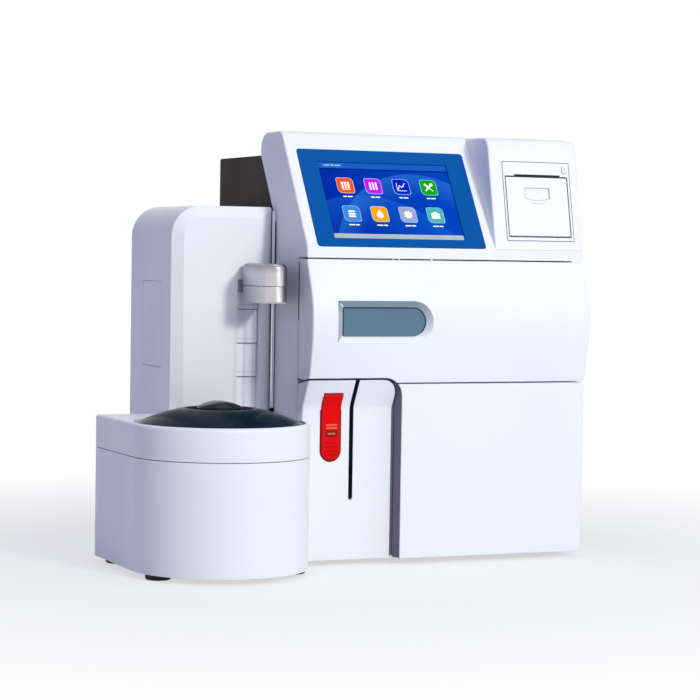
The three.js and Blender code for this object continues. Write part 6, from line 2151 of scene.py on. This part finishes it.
@dataclass
class Sampler(Assembly):
    """The round-fronted base with its disk of cups under the smoked lid."""

    x: float = -94.1
    y: float = 3.5
    knob: float = 23.0
    knob_foot: float = 157.82
    knob_rise: float = 9.6
    places: int = 24
    orbit: float = 71.98
    needle_angle: float = 23.3
    disk_floor: float = 120.5
    number_orbit: float = 60.0

    def dress(self) -> None:
        """Dresses the base, the disk and the lid."""
        self.shop.dress(Finishes.shell, "sampler_base", "sampler_cover")
        self.shop.dress(Finishes.disk, "sample_disk")
        self.shop.dress(Finishes.steel, "disk_shaft")
        self.shop.dress(Finishes.paint, "disk_motor")
        self.shop.dress(Finishes.smoke, "dome_lid")
        self.shop.dress(Finishes.rubber, *[f"sampler_foot_{place}" for place in range(1, 5)])

    def build(self) -> None:
        """Adds the smooth knob, the cups and the numbers of their places."""
        self.add_knob()
        self.add_cups()
        self.add_numbers()

    def add_knob(self) -> None:
        """Adds the lid's grip: a low round knob with a soft ridge from front to back."""
        sides, steps, rim = 64, 18, 2.0
        centre = Face(Vector((self.x, self.y, self.knob_foot)), RIGHT, REAR, UP)
        rings = []
        for radius, height in ((self.knob - 2.2, 0.0), (self.knob - 0.6, 1.0), (self.knob, rim)):
            rings.append([centre.at(u, v, height) for u, v in disc(0.0, 0.0, radius, sides)])
        for step in range(steps):
            share = math.cos(math.pi / 2 * (step + 1) / (steps + 1))
            crown = 1.0 - share ** 3.2
            points = []
            for u, v in disc(0.0, 0.0, share, sides):
                ridge = 1.0 - max(math.sqrt(u * u + 0.012) - 0.11, 0.0) ** 1.1 * 0.92
                soft = (crown ** -3 + ridge ** -3) ** (-1 / 3) * 1.2
                height = rim + (self.knob_rise - rim) * min(soft, 1.0)
                points.append(centre.at(self.knob * u, self.knob * v, height))
            rings.append(points)
        knob = self.shop.piece("lid_grip", Draft().loft(rings), Finishes.smoke_knob, Slot.LID, Body.LID, 60.0)
        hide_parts("lid_knob")

    def cup_place(self, place: int) -> tuple[float, float, float]:
        """Where a cup stands.

        Args:
            place: The number of its place.

        Returns:
            Its x, its y and its angle.
        """
        angle = math.radians(self.needle_angle) + 2 * math.pi * place / self.places
        return self.x + self.orbit * math.cos(angle), self.y + self.orbit * math.sin(angle), angle

    def add_cups(self) -> None:
        """Adds a cup with its sample in every place but the one below the needle."""
        top = Face.top(0.0)
        cups, samples = Draft(), Draft()
        cup = [
            (3.6, 121.55), (4.7, 123.0), (4.95, 138.1), (5.9, 138.15), (6.0, 138.6),
            (5.9, 139.3), (4.7, 139.3), (4.5, 123.8), (3.4, 122.6),
        ]
        for place in range(1, self.places):
            x, y, _ = self.cup_place(place)
            cups.turned(top, x, y, cup, 24)
            level = 130.5 + 4.0 * ((place * 7) % 5) / 5
            sample = [(3.2, 122.8), (4.35, 124.0), (4.4, level), (3.9, level - 0.25), (1.0, level - 0.35)]
            samples.turned(top, x, y, sample, 20)
        self.shop.piece("sample_cups", cups, Finishes.cup, Slot.DISK, Body.DISK)
        self.shop.piece("cup_samples", samples, Finishes.fluid, Slot.DISK, Body.DISK)

    def add_numbers(self) -> None:
        """Adds the number of each place on the disk's floor, in plain strokes."""
        strokes = {
            "a": ((0, 2), (1, 2)), "b": ((1, 2), (1, 1)), "c": ((1, 1), (1, 0)), "d": ((0, 0), (1, 0)),
            "e": ((0, 0), (0, 1)), "f": ((0, 1), (0, 2)), "g": ((0, 1), (1, 1)),
        }
        shapes = ("abcdef", "bc", "abged", "abgcd", "fgbc", "afgcd", "afgedc", "abc", "abcdefg", "abcdfg")
        draft = Draft()
        for place in range(1, self.places):
            _, _, angle = self.cup_place(place)
            out = Vector((math.cos(angle), math.sin(angle), 0.0))
            across = Vector((-out.y, out.x, 0.0))
            digits = str(place)
            origin = Vector((self.x, self.y, self.disk_floor)) + out * self.number_orbit
            face = Face(origin, across, -out, UP)
            for index, digit in enumerate(digits):
                left = (index - len(digits) / 2) * 3.0 + 0.5
                for name in shapes[int(digit)]:
                    first, second = ((left + u * 2.0, v * 2.0 - 2.0) for u, v in strokes[name])
                    draft.prism(face, stroke(first, second, 0.5), AIR, 0.12)
        self.shop.piece("place_numbers", draft, Finishes.print_grey, Slot.DISK, Body.DISK)


@dataclass
class Tower(Assembly):
    """The tower with the silver arm, its needle and the shutters."""

    shutters: tuple[tuple[Body, float], ...] = (
        (Body.ARM, 255.3),
        (Body.SHUTTER_MIDDLE, 220.1),
        (Body.SHUTTER_LOWER, 184.9),
    )
    shutter_front: float = 95.3
    shutter_step: float = 1.6
    rib_rise: float = 2.6
    channel_left: float = -42.3
    channel_right: float = -19.1
    curtain_y: float = 101.2

    def dress(self) -> None:
        """Dresses the tower, the arm and the shutters."""
        self.shop.dress(Finishes.shell, "tower_shell", crease=20.0)
        self.shop.dress(Finishes.shell, "side_hatch", "shutter_1", "shutter_2", "shutter_3")
        self.shop.dress(Finishes.silver, "arm_upper", "arm_lower")
        self.shop.dress(Finishes.steel, "sampler_needle", "lift_rod")

    def build(self) -> None:
        """Adds a painted shadow and a lip line at each shutter's foot, the curtain behind the arm and the
        seals in the gap to the analyzer.
        """
        for level, (body, foot) in enumerate(self.shutters):
            self.add_lip(level, body, foot)
        face = Face.front(self.curtain_y)
        curtain = Draft()
        for left, right in ((self.channel_left, -34.8), (-21.2, self.channel_right)):
            curtain.prism(face, rectangle(left, 262.0, right, 286.4, 0.3, 3), -0.4, 0.0)
        self.shop.piece("channel_curtain", curtain, Finishes.shell, Slot.SHELL, Body.ARM)
        seals = Draft()
        for low, high, right in ((152.5, 283.8, -1.5), (284.0, 359.0, -2.3)):
            seals.prism(Face.front(91.75), rectangle(-5.4, low, right, high, 0.2, 3), 0.0, 0.35, 0.1)
        self.shop.piece("tower_gap_seals", seals, Finishes.shell, Slot.SHELL)

    def add_lip(self, level: int, body: Body, foot: float) -> None:
        """Adds a painted shadow along a shutter's foot and the line of the lip above it.

        Args:
            level: How many shutters lie in front of it.
            body: The body that it moves with.
            foot: How high its foot is.
        """
        flat = self.shutter_front + level * self.shutter_step
        crest = flat - self.rib_rise
        rib = [(-34.0, flat), (-31.0, crest), (-25.0, crest), (-22.0, flat)]
        path = [(self.channel_left, flat), *rib, (self.channel_right, flat)]
        front, back = ([(x, y - lift) for x, y in path] for lift in (0.12, AIR))
        for name, low, high, finish in (
            # Painted contact shadow along the shutter's foot.
            ("edge", 0.05, 0.75, Finishes.seam),
            ("line", 5.0, 5.3, Finishes.seam_soft),
        ):
            draft = Draft().band(Face.top(foot), front, back, low, high)
            self.shop.piece(f"shutter_{name}_{level + 1}", draft, finish, Slot.SHELL, body)


@dataclass
class Studio:
    """The camera, the lamps, the pale floor and the white surround."""

    stand: Vector = Vector((-0.9641, -2.2314715, 0.3250))
    focal: float = 117.93
    sensor: float = 36.0
    yaw: float = 23.75
    pitch: float = 2.49
    roll: float = 0.90
    fill: Colour = (0.56, 0.59, 0.93)
    fill_strength: float = 0.44
    key_power: float = 43.0
    key_colour: Colour = (0.97, 1.0, 0.88)
    floor_tone: Colour = (0.82, 0.82, 0.83)
    floor_half: float = 6.0
    near_share: float = 0.62
    fade: tuple[float, float] = (0.35, 0.9)

    def camera(self) -> None:
        """Sets the camera where the photograph was taken from."""
        yaw, pitch, roll = (math.radians(turn) for turn in (self.yaw, self.pitch, self.roll))
        ahead = Vector((math.sin(yaw) * math.cos(pitch), math.cos(yaw) * math.cos(pitch), -math.sin(pitch)))
        level = Vector((math.cos(yaw), -math.sin(yaw), 0.0))
        above = level.cross(ahead)
        right = level * math.cos(roll) + above * math.sin(roll)
        up = above * math.cos(roll) - level * math.sin(roll)
        data = bpy.data.cameras.new("photo_camera")
        data.sensor_fit = "HORIZONTAL"
        data.sensor_width = self.sensor
        data.lens = self.focal
        data.clip_end = 100.0
        camera = added("photo_camera", data)
        turn = Matrix((right, up, -ahead)).transposed()
        camera.matrix_world = Matrix.Translation(self.stand) @ turn.to_4x4()
        bpy.context.scene.camera = camera

    def lamp(self, name: str, place: Vector, target: Vector, size: Point, power: float) -> None:
        """Adds one soft area lamp.

        Args:
            name: The lamp's name.
            place: Where it stands.
            target: What it points at.
            size: Its width and height, in metres.
            power: Its power in watts.
        """
        data = bpy.data.lights.new(name, "AREA")
        data.shape = "RECTANGLE"
        data.size, data.size_y = size
        data.energy = power
        data.color = self.key_colour
        lamp = added(name, data)
        lamp.location = place
        lamp.rotation_euler = (target - place).to_track_quat("-Z", "Y").to_euler()

    @staticmethod
    def shown(sketch: Sketch) -> bpy.types.NodeSocket:
        """The mask of the rays that see the white surround: camera, mirrored and refracted ones.

        Args:
            sketch: The sketch on the tree.

        Returns:
            The mask's socket.
        """
        rays = sketch.add("ShaderNodeLightPath")
        clear = sketch.math("MAXIMUM", rays.outputs["Is Transmission Ray"], rays.outputs["Is Glossy Ray"])
        return sketch.math("MAXIMUM", rays.outputs["Is Camera Ray"], clear)

    def surround(self) -> None:
        """Builds the world: white where it is seen, soft lilac where it lights."""
        world = bpy.data.worlds.new("studio_world")
        world.use_nodes = True
        bpy.context.scene.world = world
        sketch = Sketch(world.node_tree)
        soft = sketch.add("ShaderNodeBackground")
        sketch.fill(soft, Color=self.fill, Strength=self.fill_strength)
        white = sketch.add("ShaderNodeBackground")
        sketch.fill(white, Color=WHITE, Strength=1.0)
        sketch.output("ShaderNodeOutputWorld", self.shown(sketch), soft, white)

    def floor(self) -> None:
        """Adds the pale floor, which fades to the white of the surround away from the part."""
        half = self.floor_half
        data = bpy.data.meshes.new("studio_floor")
        data.from_pydata([(u, v, 0.0) for u, v in rectangle(-half, -half, half, half)], [], [(0, 1, 2, 3)])
        floor = added("studio_floor", data)
        paint = bpy.data.materials.new("studio_floor_white")
        paint.use_nodes = True
        data.materials.append(paint)
        sketch = Sketch(paint.node_tree)
        far = sketch.span(sketch.vector("LENGTH", sketch.place()), self.near_share, 1.0, *self.fade)
        matt = sketch.add("ShaderNodeBsdfDiffuse")
        sketch.fill(matt, Color=self.floor_tone)
        white = sketch.add("ShaderNodeEmission")
        sketch.fill(white, Color=WHITE, Strength=1.0)
        mask = sketch.math("MULTIPLY", self.shown(sketch), far)
        sketch.output("ShaderNodeOutputMaterial", mask, matt, white)

    def build(self) -> None:
        """Builds the whole studio."""
        bpy.context.scene.view_settings.view_transform = "Standard"
        self.camera()
        self.surround()
        self.floor()
        middle = Vector((0.0, -0.05, 0.22))
        for name, place, size, share in (
            ("key_lamp", (0.64, -2.95, 1.30), (0.34, 0.34), 1.0),
            ("front_lamp", (0.35, -2.6, 1.35), (1.4, 1.0), 0.32),
            ("top_lamp", (0.1, -0.2, 2.2), (1.4, 1.4), 0.25),
        ):
            self.lamp(name, Vector(place), middle, size, self.key_power * share)


def main() -> None:
    """Loads the frame, then builds and dresses the analyzer."""
    logging.basicConfig(level=logging.INFO, format="%(name)s: %(message)s")
    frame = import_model()
    Studio().build()
    shop = Workshop(frame)
    assemblies: list[Assembly] = [
        Casing(shop),
        Display(shop),
        FrontDoor(shop),
        SampleStation(shop),
        Printer(shop),
        Fluidics(shop),
        Sampler(shop),
        Tower(shop),
    ]
    for assembly in assemblies:
        assembly.dress()
        assembly.build()
        log.info("%s is ready", type(assembly).__name__)


if __name__ == "__main__":
    main()
